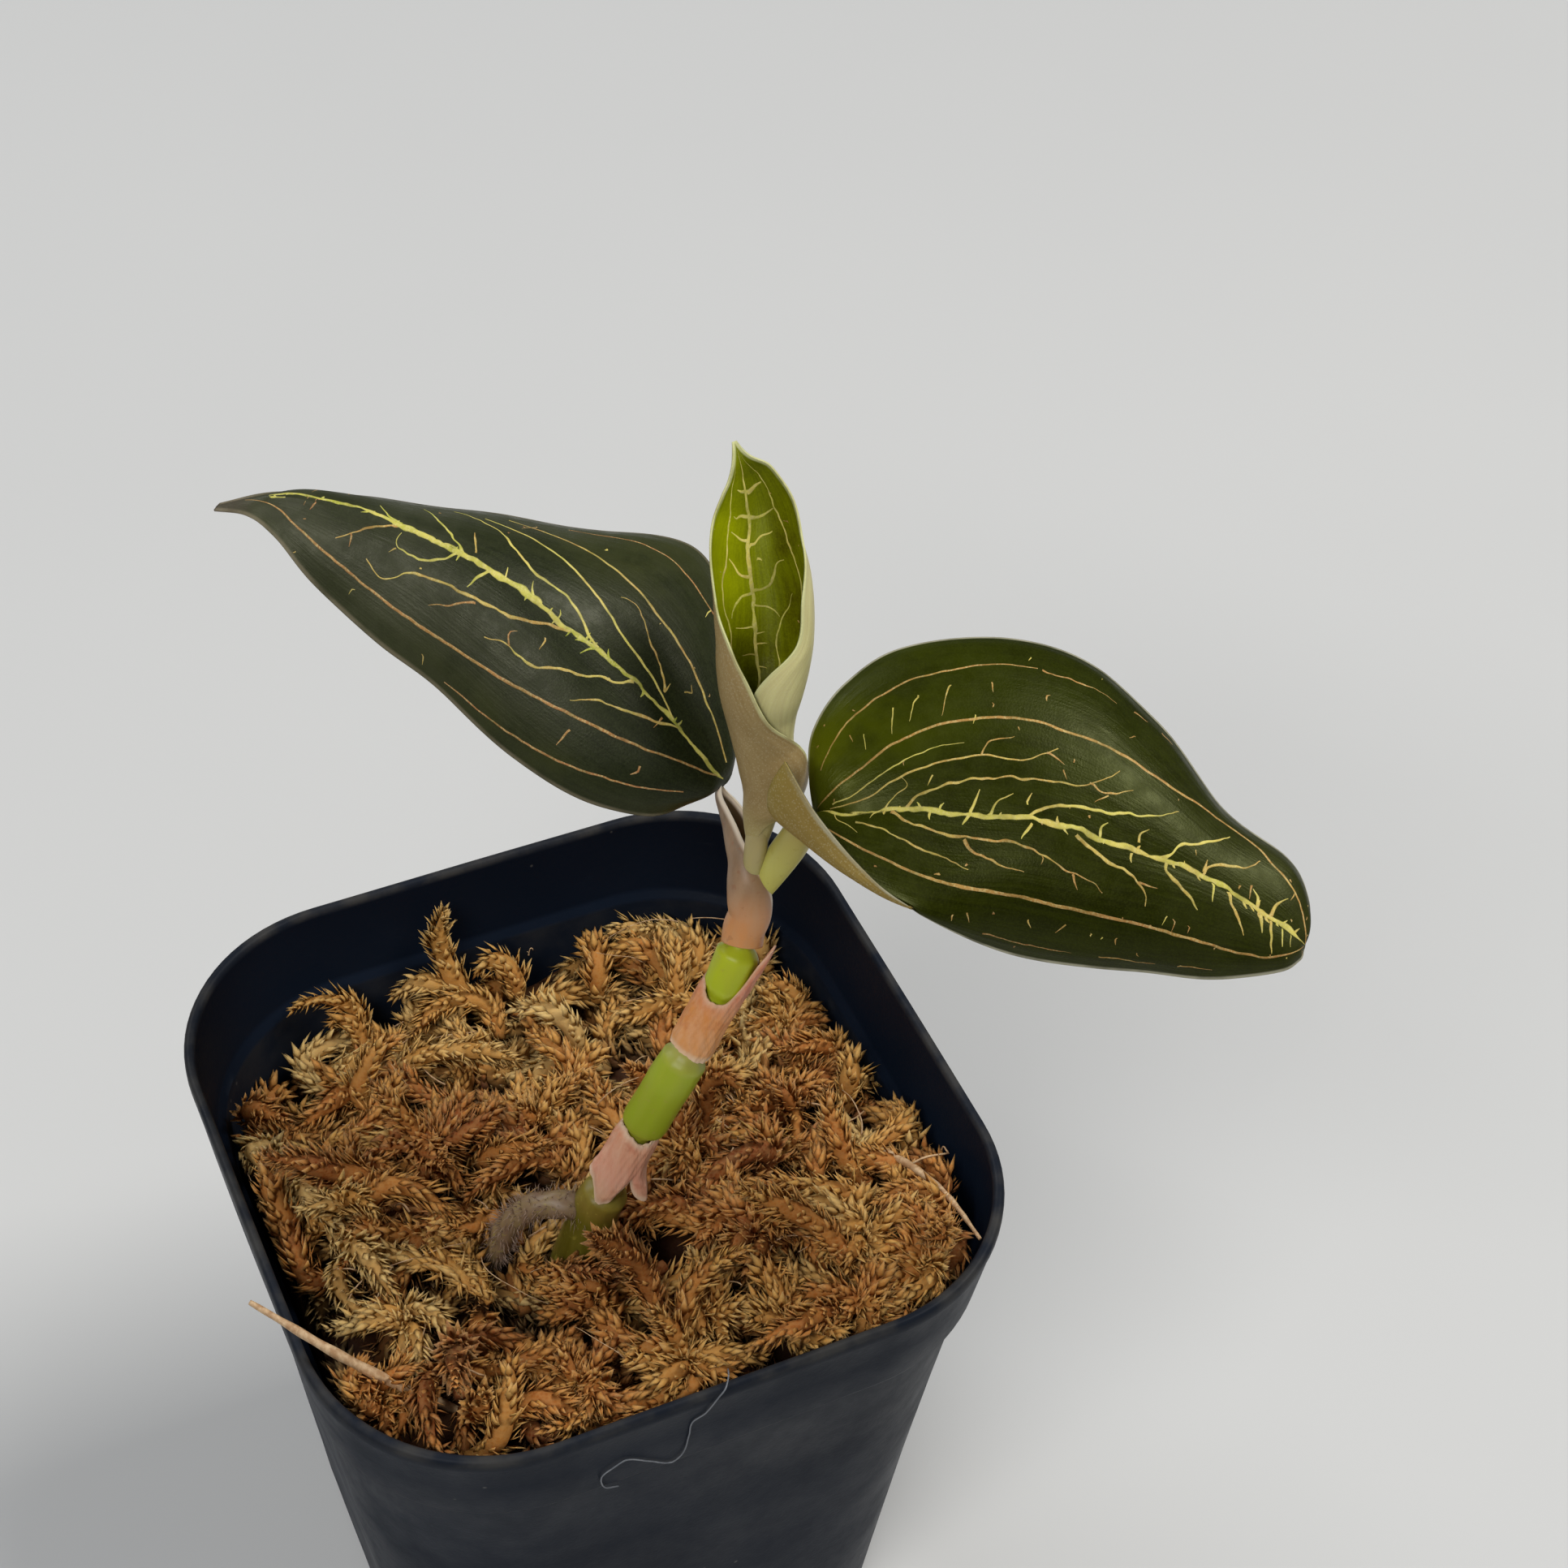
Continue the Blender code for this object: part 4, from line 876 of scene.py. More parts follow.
def channel_material():
    """The left petiole: orange at its foot, pinkish above, dark inside and pale-edged, the pale edge partly
    its own colour and partly a painted highlight.
    """
    make = Nodes("petiole_left")
    along_stalk = make.value("along")
    outside = make.ramp(
        along_stalk,
        (0.0, (0.68, 0.29, 0.09)),
        (0.22, (0.58, 0.27, 0.11)),
        (0.38, (0.32, 0.19, 0.10)),
        (0.7, (0.20, 0.14, 0.09)),
        (1.0, (0.12, 0.08, 0.04)),
    )
    inside = make.ramp(
        along_stalk,
        (0.0, (0.36, 0.22, 0.08)),
        (0.40, (0.20, 0.12, 0.04)),
        (0.7, (0.080, 0.046, 0.018)),
        (1.0, (0.055, 0.042, 0.020)),
    )
    ribs = stalk_ribs(make)
    outside = make.over(outside, (0.52, 0.34, 0.20), ribs, 0.3, 0.75, 0.35)
    outside = make.over(outside, (0.30, 0.10, 0.04), make.noise(1500.0, 2.0), 0.62, 0.72, 0.3)
    colour = make.mix(make.value("under"), inside, outside)
    # The pale edge is partly the petiole's own colour and partly a painted highlight.
    edge = make.step(make.value("rim"), 0.18, 0.55, 0.95, 0.0)
    pale = make.times(edge, make.step(along_stalk, 0.08, 0.2))
    return make.done(
        make.mix(pale, colour, (0.80, 0.68, 0.54)),
        0.42,
        Normal=make.bump(ribs, 0.2, 0.0002),
        Specular_IOR_Level=0.36,
        **soft(0.2, 0.0008, 1.0, 0.6, 0.35),
    )


def sheath_material(name, edge, stain, *stops):
    """A dry papery sheath, streaked along its length and paler at its torn ends."""
    make = Nodes(name)
    colour = make.ramp(make.value("along"), *stops)
    streaks = make.noise(1.0, 5.0, 0.65, make.place(1500.0, 1500.0, 90.0))
    colour = make.over(colour, edge, streaks, 0.35, 0.7, 0.35)
    colour = make.over(colour, stain, make.noise(420.0, 4.0, 0.6), 0.54, 0.7, 0.5)
    return make.done(
        make.mix(make.value("torn"), colour, edge),
        0.55,
        Normal=make.bump(streaks, 0.5, 0.0003),
        Specular_IOR_Level=0.35,
        **soft(0.15, 0.0008, 1.0, 0.6, 0.4),
    )


def moss_material():
    """Dried sphagnum: straw, gold and rust by tone, darkened deep down by painted shade, paler at leaf tips.
    """
    make = Nodes("dried_moss_fine")
    colour = make.ramp(
        make.plus(make.value("tone"), make.step(make.noise(240.0), 0.25, 0.75, -0.12, 0.12)),
        (0.0, (0.60, 0.40, 0.150)),
        (0.3, (0.52, 0.26, 0.058)),
        (0.6, (0.43, 0.150, 0.026)),
        (0.85, (0.24, 0.055, 0.011)),
        (1.0, (0.07, 0.020, 0.007)),
    )
    cells = make.cells(MOSS_CELLS, vector=make.place(1.0, 1.0, 1.6))
    colour = make.over(colour, (0.60, 0.38, 0.14), cells, 0.1, 0.7, 0.2)
    # painted shade: the deeper a point lies below the bed's top, the nearer its colour goes to dark brown
    colour = make.over(colour, (0.020, 0.008, 0.004), make.value("depth"), 0.0, 1.0, 0.92)
    return make.done(
        make.mix(make.times(make.value("tip"), 0.3), colour, (0.68, 0.48, 0.22)),
        0.72,
        Normal=make.bump(make.noise(2400.0, 3.0, 0.6), 0.4, 0.0002),
        Specular_IOR_Level=0.15,
        **soft(0.12, 0.0008, 1.0, 0.6, 0.25),
    )


def fibre_material(name, pale, dark):
    """A thin dry fibre or splinter."""
    make = Nodes(name)
    streaks = make.noise(1.0, 4.0, 0.6, make.place(1800.0, 1800.0, 300.0))
    colour = make.over(pale, dark, streaks, 0.3, 0.7)
    return make.done(colour, 0.6, Normal=make.bump(streaks, 0.4, 0.0002))


def pot_material():
    """Thin blue-black nursery plastic: faint moulding marks, rubbed edges that also carry a painted
    highlight, and dust.
    """
    make = Nodes("pot_plastic_fine")
    cloud = make.noise(38.0, 4.0, 0.55)
    colour = make.over((0.0048, 0.0082, 0.0160), (0.0064, 0.0108, 0.0208), cloud, 0.3, 0.7)
    scuffs = make.noise(1.0, 6.0, 0.75, make.place(180.0, 180.0, 900.0), 0.4)
    colour = make.over(colour, (0.016, 0.022, 0.033), scuffs, 0.60, 0.74, 0.22)
    dusty = make.step(make.noise(60.0, 2.0), 0.56, 0.62)
    dust = make.times(make.step(make.cells(360.0), 0.03, 0.09, 1.0, 0.0), dusty)
    colour = make.mix(make.times(dust, 0.4), colour, (0.20, 0.19, 0.17))
    rubbed_and_lit = make.step(make.noise(260.0, 4.0), 0.35, 0.7, 0.15, 0.85)
    # painted highlight: the rim and the collar's step are lightened, partly as rubbed wear and partly as a
    # highlight line along them
    colour = make.mix(make.times(make.value("worn"), rubbed_and_lit), colour, (0.050, 0.048, 0.045))
    grain = make.bump(make.noise(2600.0, 3.0, 0.6), 0.16, 0.0001)
    return make.done(
        colour,
        make.step(make.noise(120.0, 5.0, 0.7), 0.25, 0.75, 0.34, 0.50),
        Normal=make.bump(make.noise(70.0, 2.0), 0.12, 0.0012, grain),
        Specular_IOR_Level=0.05,
    )


def floor_material():
    make = Nodes("floor")
    return make.done(make.mix(make.noise(6.0, 4.0), (0.56, 0.56, 0.555), (0.60, 0.60, 0.59)), 0.8)


# ---------------------------------------------------------------- leaf surfaces
def pinched_row(point, neighbour):
    """The narrow first or last row of a cage, laid the same way as its neighbour."""
    way = unit(np.subtract(neighbour[0], neighbour[4])) * BLADE_END_HALF_WIDTH
    return [np.add(point, way * share) for share in (1.0, 0.5, 0.0, -0.5, -1.0)]


def slopes_of(place, s, t):
    """How a surface moves for each share along it and across it."""
    down = place(s + SMALL_STEP, t) - place(s - SMALL_STEP, t)
    over = place(s, t + SMALL_STEP) - place(s, t - SMALL_STEP)
    return down / (2 * SMALL_STEP), over / (2 * SMALL_STEP)


def normals_of(place, s, t):
    """Unit normals of a surface, turned as along x across."""
    return unit(np.cross(*slopes_of(place, s, t)))


def blade_place(blade):
    """Where a point lies on a blade whose halves bend from the midrib to waved edges."""
    inner = blade["rows"]
    base, tip = pinched_row(blade["base"], inner[0]), pinched_row(blade["tip"], inner[-1])
    cage = np.array([base, *inner, tip], float)
    stations = np.linspace(0.0, 1.0, len(cage))

    def calm_place(s, t):
        lines = curve_at(cage, stations, s)
        far_half = (t < 0)[:, None]
        pull = np.where(far_half, lines[:, 1], lines[:, 3])
        edge = np.where(far_half, lines[:, 0], lines[:, 4])
        a = np.abs(t)[:, None]
        return (1 - a) ** 2 * lines[:, 2] + 2 * a * (1 - a) * pull + a * a * edge

    def place(s, t):
        wave = EDGE_WAVE * np.sin(np.pi * s) * np.sin(FULL_TURN * EDGE_WAVES * s)
        wave = wave * np.abs(t) ** 3
        return calm_place(s, t) + normals_of(calm_place, s, t) * wave[:, None]

    return place


def rolled_place(rows, back):
    """Where a point lies on a blade rolled round its own bent axis."""
    keys = np.asarray(rows, float)
    stations = reached(keys[:, :3])
    back = np.asarray(back, float)

    def place(s, t):
        row = curve_at(keys, stations, s)
        ahead = curve_at(keys, stations, s + AXIS_STEP)
        behind_row = curve_at(keys, stations, s - AXIS_STEP)
        tangent = unit(ahead[:, :3] - behind_row[:, :3])
        behind = unit(back - tangent * (tangent @ back)[:, None])
        left = np.cross(tangent, behind)
        turn = t * np.where(t > 0, row[:, 6], row[:, 5])
        share = (turn + row[:, 5]) / (row[:, 5] + row[:, 6])
        radius = row[:, 3] + (row[:, 4] - row[:, 3]) * share
        return row[:, :3] + radius[:, None] * spokes(np.radians(turn), behind, left)

    return place


class Leaf:
    """One blade: its middle surface, the distance to its edge and its thickness."""

    def __init__(self, place, top_way, half_thickness=BLADE_HALF_THICKNESS):
        self.place = place
        self.middle_half_thickness = half_thickness
        self.stations = np.linspace(0.0, 1.0, RIM_ROWS)
        shares = np.linspace(0.0, 1.0, RIM_COLUMNS)
        self.widths = []
        for side in (-1.0, 1.0):
            grid = [place(self.stations, np.full(RIM_ROWS, side * share)) for share in shares]
            self.widths.append(np.linalg.norm(np.diff(grid, axis=0), axis=2).sum(axis=0))
        middle = normals_of(place, np.array([0.5]), np.array([0.0]))[0]
        self.facing = 1.0 if np.dot(middle, top_way) > 0 else -1.0

    def rim(self, s, t):
        """Distance across the leaf to its edge in millimetres."""
        far_half, near_half = (np.interp(s, self.stations, width) for width in self.widths)
        return (1.0 - np.abs(t)) * np.where(t < 0, far_half, near_half)

    def half_thickness(self, s, t):
        inwards = ease(self.rim(s, t) / THINNING_REACH) * (0.3 + 0.7 * ease(s / 0.14))
        return MARGIN_HALF_THICKNESS + (self.middle_half_thickness - MARGIN_HALF_THICKNESS) * inwards

    def on_face(self, s, t, side=1.0, lift=0.0):
        """Points on the upper (1) or lower (-1) face, lifted off it."""
        normal = normals_of(self.place, s, t) * self.facing * side
        return self.place(s, t) + normal * (self.half_thickness(s, t) + lift)[:, None]

    def spot(self, s, t):
        """The middle surface at a single place."""
        return self.place(np.array([s]), np.array([t]))[0]


def add_blade(build, leaf, rows, columns):
    """The closed sheet of a blade, finer towards its edges."""
    share = np.linspace(-1.0, 1.0, columns)
    across = share * (1.35 - 0.35 * share * share)
    grid = np.meshgrid(np.linspace(0.0, 1.0, rows), across, indexing="ij")
    s, t = (numbers.ravel() for numbers in grid)
    below = rows * columns
    faces = []
    for i in range(rows - 1):
        for j in range(columns - 1):
            a = i * columns + j
            b, c, d = a + 1, a + columns + 1, a + columns
            top = (b, c, d, a) if leaf.facing > 0 else (a, d, c, b)
            faces.append(top)
            faces.append(tuple(below + k for k in reversed(top)))
    outline = list(range(columns))
    outline += [i * columns + columns - 1 for i in range(1, rows)]
    outline += [(rows - 1) * columns + j for j in range(columns - 2, -1, -1)]
    outline += [i * columns for i in range(rows - 2, 0, -1)]
    for a, b in zip(outline, outline[1:] + outline[:1]):
        side = (a, b, below + b, below + a)
        faces.append(side if leaf.facing < 0 else side[::-1])
    build.add(
        np.vstack((leaf.on_face(s, t, 1.0), leaf.on_face(s, t, -1.0))),
        faces,
        along=np.tile(s, 2),
        across=np.tile(t, 2),
        rim=np.tile(leaf.rim(s, t), 2),
        under=np.repeat((0.0, 1.0), below),
    )


def rough_line(chance, count, reach):
    """Random values that vary smoothly over the given reach of samples."""
    kernel = np.hanning(2 * reach + 3)
    kernel /= np.sqrt((kernel ** 2).sum())
    noise = chance.uniform(-1.0, 1.0, count + 4 * reach + 4)
    smooth = np.convolve(noise, kernel, "same")[2 * reach + 2:][:count]
    return np.clip(smooth, -1.6, 1.6)


def add_teeth(build, leaf, width, tone, keys, chance):
    """Tiny side teeth along a wide vein."""
    rough = leaf.place(keys[:, 0], keys[:, 1])
    stations = reached(rough)
    for _ in range(int(way_length(rough) / TOOTH_SPACING)):
        share = chance.uniform(0.12, 0.95)
        s, t = curve_at(keys, stations, np.array([share]))[0]
        here = leaf.spot(s, t)
        down = (leaf.spot(s + TOOTH_STEP, t) - here) / TOOTH_STEP
        over = (leaf.spot(s, t + TOOTH_STEP) - here) / TOOTH_STEP
        length = chance.uniform(0.3, 0.75)
        ds = length * chance.uniform(-0.2, 0.9) / max(np.linalg.norm(down), 25.0)
        dt = length * chance.choice((-1.0, 1.0)) / max(np.linalg.norm(over), 5.0)
        tooth = ((s, t), (s + 0.4 * ds, t + 0.6 * dt), (s + ds, t + dt))
        add_vein(build, leaf, width * 0.36, tone, np.array(tooth), chance)


def sideways(place, s, t):
    """Shares along and across that make one millimetre square to a way."""
    down, over = slopes_of(place, s, t)
    ahead = unit(np.gradient(place(s, t), axis=0))
    square = unit(np.cross(unit(np.cross(down, over)), ahead))
    dd, do, oo = (down * down).sum(1), (down * over).sum(1), (over * over).sum(1)
    ds, dt = (down * square).sum(1), (over * square).sum(1)
    det = np.maximum(dd * oo - do * do, 1e-9)
    return (
        np.clip((oo * ds - do * dt) / det, -0.04, 0.04),
        np.clip((dd * dt - do * ds) / det, -0.25, 0.25),
    )


def vein_taper(shares, length, width):
    """Long veins keep their width; short ones start wide and thin out to a point."""
    if length > LONG_VEIN:
        thinnest = 0.75 if width > TOOTHED_WIDTH else 0.45
        return thinnest + (1.0 - thinnest) * np.sin(np.pi * (0.04 + 0.90 * shares) ** 0.9)
    taper = 0.35 + 0.65 * np.minimum(1.0, (1.0 - shares) * 2.2)
    return taper * (1.0 + 0.35 * np.exp(-((shares * length / 0.5) ** 2)))


def add_vein(build, leaf, width, tone, keys, chance, side=1.0):
    """One thin raised line that follows the leaf's face and thins out to its end."""
    rough = leaf.place(keys[:, 0], keys[:, 1])
    length = way_length(rough)
    count = max(6, int(length / VEIN_STEP))
    shares = np.linspace(0.0, 1.0, count)
    s, t = curve_at(keys, reached(rough), shares).T
    ds, dt = sideways(leaf.place, s, t)
    calm = 0.45 if length > LONG_VEIN and width < TOOTHED_WIDTH else 1.0
    wander = rough_line(chance, count, 7) + 0.4 * rough_line(chance, count, 2)
    wander *= calm * VEIN_WANDER * np.minimum(1.0, 14 * shares) * min(1.0, width / 0.12)
    swell = 0.26 * rough_line(chance, count, 3) + 0.12 * rough_line(chance, count, 1)
    half = 0.5 * VEIN_SPREAD * width * (1.0 + calm * swell) * vein_taper(shares, length, width)
    lift = 0.006 * chance.uniform(0.0, 1.0)
    points = []
    for place, height, _ in VEIN_SECTION:
        offset = wander + place * half
        rise = height * min(1.0, width / 0.3) + lift
        on_leaf = np.clip(t + dt * offset, -1.0, 1.0)
        points.append(leaf.on_face(s + ds * offset, on_leaf, side, rise))
    size = len(VEIN_SECTION)
    faces = []
    for i in range(count - 1):
        for a in range(i * size, i * size + size - 1):
            face = (a, a + 1, a + size + 1, a + size)
            faces.append(face if leaf.facing * side > 0 else face[::-1])
    build.add(
        np.stack(points, axis=1),
        faces,
        along=np.repeat(s, size),
        across=np.repeat(t, size),
        rim=np.repeat(leaf.rim(s, t), size),
        vein=np.tile([colour for _, _, colour in VEIN_SECTION], count),
        tone=tone + chance.uniform(-0.06, 0.06),
        under=0.0 if side > 0 else 1.0,
    )


def add_flecks(build, leaf, count, small, large, chance):
    """Short gold marks strewn over the upper face, set across the leaf."""
    for _ in range(count):
        s = chance.uniform(0.12, 0.95)
        t = chance.uniform(-0.92, 0.92)
        length = chance.uniform(0.3, 1.3) if chance.uniform(0, 1) < 0.35 else chance.uniform(0.12, 0.3)
        width_here = leaf.rim(s, t) / max(1.0 - abs(t), 1e-3)
        dt = length / max(width_here, 2.0)
        ds = chance.uniform(-0.4, 0.4) * length / 45.0
        keys = np.array(((s, t), (s + ds, np.clip(t + dt, -0.94, 0.94))))
        width, tone = chance.uniform(small, large), chance.uniform(0.3, 0.9)
        add_vein(build, leaf, width, tone, keys, chance)


def add_stalk(build, rows, sides, count, lobes=None):
    """A round stalk through rows of x, y, z and radius."""
    rows = smooth_stalk(rows, count)
    rings = tube_points(rows[:, :3], rows[:, 3], sides, lobes)
    build.add_rings(rings, along=np.repeat(reached(rows[:, :3]), sides))


# ---------------------------------------------------------------- leaves
UP = (0.0, 0.0, 1.0)
LEAF_VALUES = ("along", "across", "rim", "vein", "tone", "under")
# Each leaf: its surface, the way its top faces, rows and columns of its sheet, veins, flecks,
# seed and slot.
LEAVES = {
    "leaf_left": (blade_place(LEFT_BLADE), UP, (180, 79), LEFT_VEINS, LEFT_FLECKS, 3, "leaf_dark"),
    "leaf_right": (blade_place(RIGHT_BLADE), UP, (180, 83), RIGHT_VEINS, RIGHT_FLECKS, 5, "leaf_green"),
    "leaf_young": (
        rolled_place(YOUNG_BLADE, YOUNG_BACK), -np.array(YOUNG_BACK), (170, 121),
        YOUNG_VEINS, YOUNG_FLECKS, 9, "leaf_new",
    ),
}


def dress_leaf(name, blade_material):
    place, top_way, grid, vein_rows, flecks, seed, slot = LEAVES[name]
    leaf = Leaf(place, top_way)
    chance = np.random.default_rng(seed)
    blade = Build(*LEAF_VALUES)
    add_blade(blade, leaf, *grid)
    belongs(blade.piece(name + "_blade", blade_material), slot, name)
    veins = Build(*LEAF_VALUES)
    for width, tone, keys in vein_rows:
        keys = np.array(keys) / 100
        add_vein(veins, leaf, width, tone, keys, chance)
        if width > TOOTHED_WIDTH:
            add_teeth(veins, leaf, width, tone, keys, chance)
        if width > UNDERSIDE_WIDTH:
            add_vein(veins, leaf, width * 0.9, tone, keys, chance, side=-1.0)
    add_flecks(veins, leaf, *flecks, chance)
    belongs(veins.piece(name + "_veins", blade_material), slot, name)


def dress_petiole(name, slot, material, rows):
    stalk = Build("along")
    add_stalk(stalk, rows, sides=36, count=70)
    belongs(stalk.piece(name + "_petiole", material), slot, name)


def dress_channel():
    """The left leaf's clasping petiole."""
    place = rolled_place(LEFT_CHANNEL, CHANNEL_BACK)
    sleeve = Build(*LEAF_VALUES)
    add_blade(sleeve, Leaf(place, -np.array(CHANNEL_BACK), CHANNEL_HALF_THICKNESS), 90, 61)
    belongs(sleeve.piece("leaf_left_petiole", channel_material()), "leaf_dark", "leaf_left")


def dress_leaves():
    everywhere = (-2.0, -1.5)
    dark = leaf_material(
        "leaf_dark_fine",
        dark=(0.007, 0.010, 0.0025),
        light=(0.014, 0.018, 0.0050),
        grain=0.24,
        tints=(
            # painted sheen: a grey satin patch on the near half
            ((0.036, 0.038, 0.020), 0.85, (0.24, 0.50), (0.12, 0.48)),
            ((0.030, 0.034, 0.006), 0.7, everywhere, (0.62, 0.88)),
            ((0.038, 0.042, 0.011), 0.8, (0.14, 0.45), (-0.15, -0.65)),
            # painted sheen: a grey satin band across the middle of the blade
            ((0.044, 0.047, 0.025), 0.85, (0.40, 0.72), everywhere),
            ((0.060, 0.046, 0.030), 0.8, (0.86, 0.96), everywhere),
        ),
        margin=((0.24, 0.20, 0.13), 0.5),
        under=((0.16, 0.09, 0.055), (0.16, 0.09, 0.055), (0.27, 0.17, 0.10)),
        foot=(0.20, 0.12, 0.07),
        roughness=0.42,
        specular=0.22,
        gleam=(1.0, 0.98, 0.78),
        vein_rise=(0.0, 0.15, 0.8, 1.0),
    )
    green = leaf_material(
        "leaf_green_fine",
        dark=(0.010, 0.012, 0.0005),
        light=(0.018, 0.022, 0.0008),
        grain=0.18,
        tints=(
            ((0.020, 0.026, 0.0008), 0.8, (0.85, 0.35), (-0.05, -0.45)),
            ((0.032, 0.038, 0.0010), 0.7, (0.32, 0.05), (-0.3, 0.0)),
            # painted glow: this tint and the next stand for light shining through the blade near its base,
            # mostly on the far half
            ((0.064, 0.076, 0.0008), 0.9, (0.50, 0.06), (-0.12, -0.42)),
            ((0.096, 0.102, 0.0010), 0.95, (0.24, 0.02), (0.20, -0.10)),
            # painted sheen: a grey satin band over the outer part of the blade
            ((0.044, 0.047, 0.016), 0.5, (0.55, 0.85), everywhere),
        ),
        margin=((0.40, 0.38, 0.27), 0.9),
        under=((0.20, 0.13, 0.028), (0.23, 0.155, 0.040), (0.30, 0.22, 0.075)),
        foot=(0.24, 0.18, 0.040),
        roughness=0.33,
        specular=0.15,
        gleam=(0.90, 0.95, 0.42),
        vein_rise=(0.02, 0.50, 0.55, 1.0),
    )
    new = leaf_material(
        "leaf_new_fine",
        dark=(0.125, 0.140, 0.0008),
        light=(0.190, 0.215, 0.0010),
        grain=0.07,
        tints=(
            ((0.300, 0.340, 0.0010), 0.7, (0.50, 0.68), (0.10, 0.55)),
            ((0.060, 0.072, 0.0030), 0.85, (0.80, 0.92), everywhere),
            ((0.042, 0.028, 0.0008), 0.95, (0.97, 0.80), (0.0, -0.45)),
            ((0.050, 0.042, 0.0008), 0.9, (0.66, 0.46), everywhere),
        ),
        margin=((0.60, 0.60, 0.30), 1.0),
        under=((0.60, 0.56, 0.26), (0.27, 0.185, 0.075), (0.38, 0.29, 0.14)),
        foot=(0.38, 0.31, 0.13),
        roughness=0.38,
        specular=0.15,
        gleam=(0.92, 0.95, 0.40),
        vein_rise=(0.0, 0.1, 0.9, 1.0),
    )
    right_stalk = stalk_material(
        "petiole_right",
        (0.34, 0.28, 0.05),
        (0.0, (0.60, 0.56, 0.10)),
        (0.4, (0.52, 0.49, 0.12)),
        (0.75, (0.36, 0.29, 0.08)),
        (1.0, (0.20, 0.14, 0.04)),
    )
    young_stalk = stalk_material(
        "petiole_young",
        (0.34, 0.26, 0.12),
        (0.0, (0.52, 0.46, 0.13)),
        (0.3, (0.48, 0.43, 0.15)),
        (0.5, (0.42, 0.35, 0.14)),
        (0.65, (0.38, 0.31, 0.13)),
    )
    dress_leaf("leaf_left", dark)
    dress_channel()
    dress_leaf("leaf_right", green)
    dress_petiole("leaf_right", "leaf_green", right_stalk, RIGHT_PETIOLE)
    dress_leaf("leaf_young", new)
    dress_petiole("leaf_young", "leaf_new", young_stalk, YOUNG_PETIOLE)


# ---------------------------------------------------------------- stem, root and sheaths
def stem_ribs(turns, shares):
    return 1.0 + 0.012 * np.sin(9 * turns + 4 * shares) + 0.012 * np.sin(60 * shares)


def root_knobs(turns, shares):
    return 1.0 + 0.06 * np.sin(3 * turns + 30 * shares) + 0.04 * np.sin(44 * shares)


def dress_stem():
    rows = np.array(STEM)
    heights = np.arange(rows[0, 2], rows[-1, 2], STEM_STEP)
    fine = np.stack([np.interp(heights, rows[:, 2], rows[:, k]) for k in range(4)], axis=1)
    for column in range(3):
        fine[2:-2, column] = np.convolve(fine[:, column], np.ones(5) / 5, "valid")
    fine[1:-1, 3] = np.convolve(fine[:, 3], np.ones(3) / 3, "valid")
    stem = Build("along")
    share = np.maximum((fine[:, 2] - STEM_FOOT) / STEM_SHOWN, STEM_START)
    rings = tube_points(fine[:, :3], fine[:, 3], STEM_SIDES, stem_ribs)
    stem.add_rings(rings, along=np.repeat(share, STEM_SIDES))
    root = smooth_stalk(ROOT, 40)
    stem.add_rings(tube_points(root[:, :3], root[:, 3], 24, root_knobs), along=0.0)
    material = stalk_material(
        "stem_green_fine",
        (0.40, 0.34, 0.06),
        (0.0, (0.22, 0.14, 0.09)),
        (0.015, (0.08, 0.065, 0.004)),
        (0.16, (0.11, 0.095, 0.003)),
        (0.20, (0.20, 0.14, 0.02)),
        (0.46, (0.28, 0.30, 0.015)),
        (0.50, (0.29, 0.36, 0.006)),
        (0.66, (0.34, 0.42, 0.010)),
        (0.70, (0.46, 0.42, 0.12)),
        (0.82, (0.42, 0.50, 0.010)),
        (0.92, (0.50, 0.56, 0.016)),
        (1.0, (0.52, 0.44, 0.08)),
    )
    belongs(stem.piece("stem_fine", material, sharp=60.0), "stem_green", "stem")
    dress_root_hairs(root)


def dress_root_hairs(root):
    """The root's coat of short hairs, which dry strands of moss cling to."""
    chance = np.random.default_rng(HAIR_SEED)
    hairs = Build("along")
    tangents, first, second = frames_along(root[:, :3], np.array(RING_WAY))
    for _ in range(HAIR_COUNT):
        i = int(chance.integers(1, len(root) - 6))
        out = spokes(chance.uniform(0.0, FULL_TURN), first[i], second[i])
        if out[2] < -0.35:
            continue
        foot = root[i, :3] + out * root[i, 3] * 0.9
        way = unit(out + tangents[i] * chance.uniform(-0.5, 0.5) + chance.uniform(-0.25, 0.25, 3))
        length = chance.uniform(0.5, 1.3)
        droop = np.array((0, 0, -0.2 * length))
        tip = foot + way * length + droop + chance.uniform(-0.15, 0.15, 3)
        path = (foot, foot + way * length * 0.55, tip)
        hairs.add_rings(tube_points(path, (0.035, 0.028, 0.008), 3), along=0.5)
    material = fibre_material("root_hair", (0.42, 0.30, 0.22), (0.26, 0.17, 0.12))
    belongs(hairs.piece("root_hairs", material), "stem_green", "stem")


def near(turn, centre, width):
    """1 at an angle, falling smoothly to 0 a width away from it."""
    apart = np.abs((turn - centre + math.pi) % FULL_TURN - math.pi)
    return 0.5 + 0.5 * np.cos(np.pi * np.minimum(apart, width) / width)


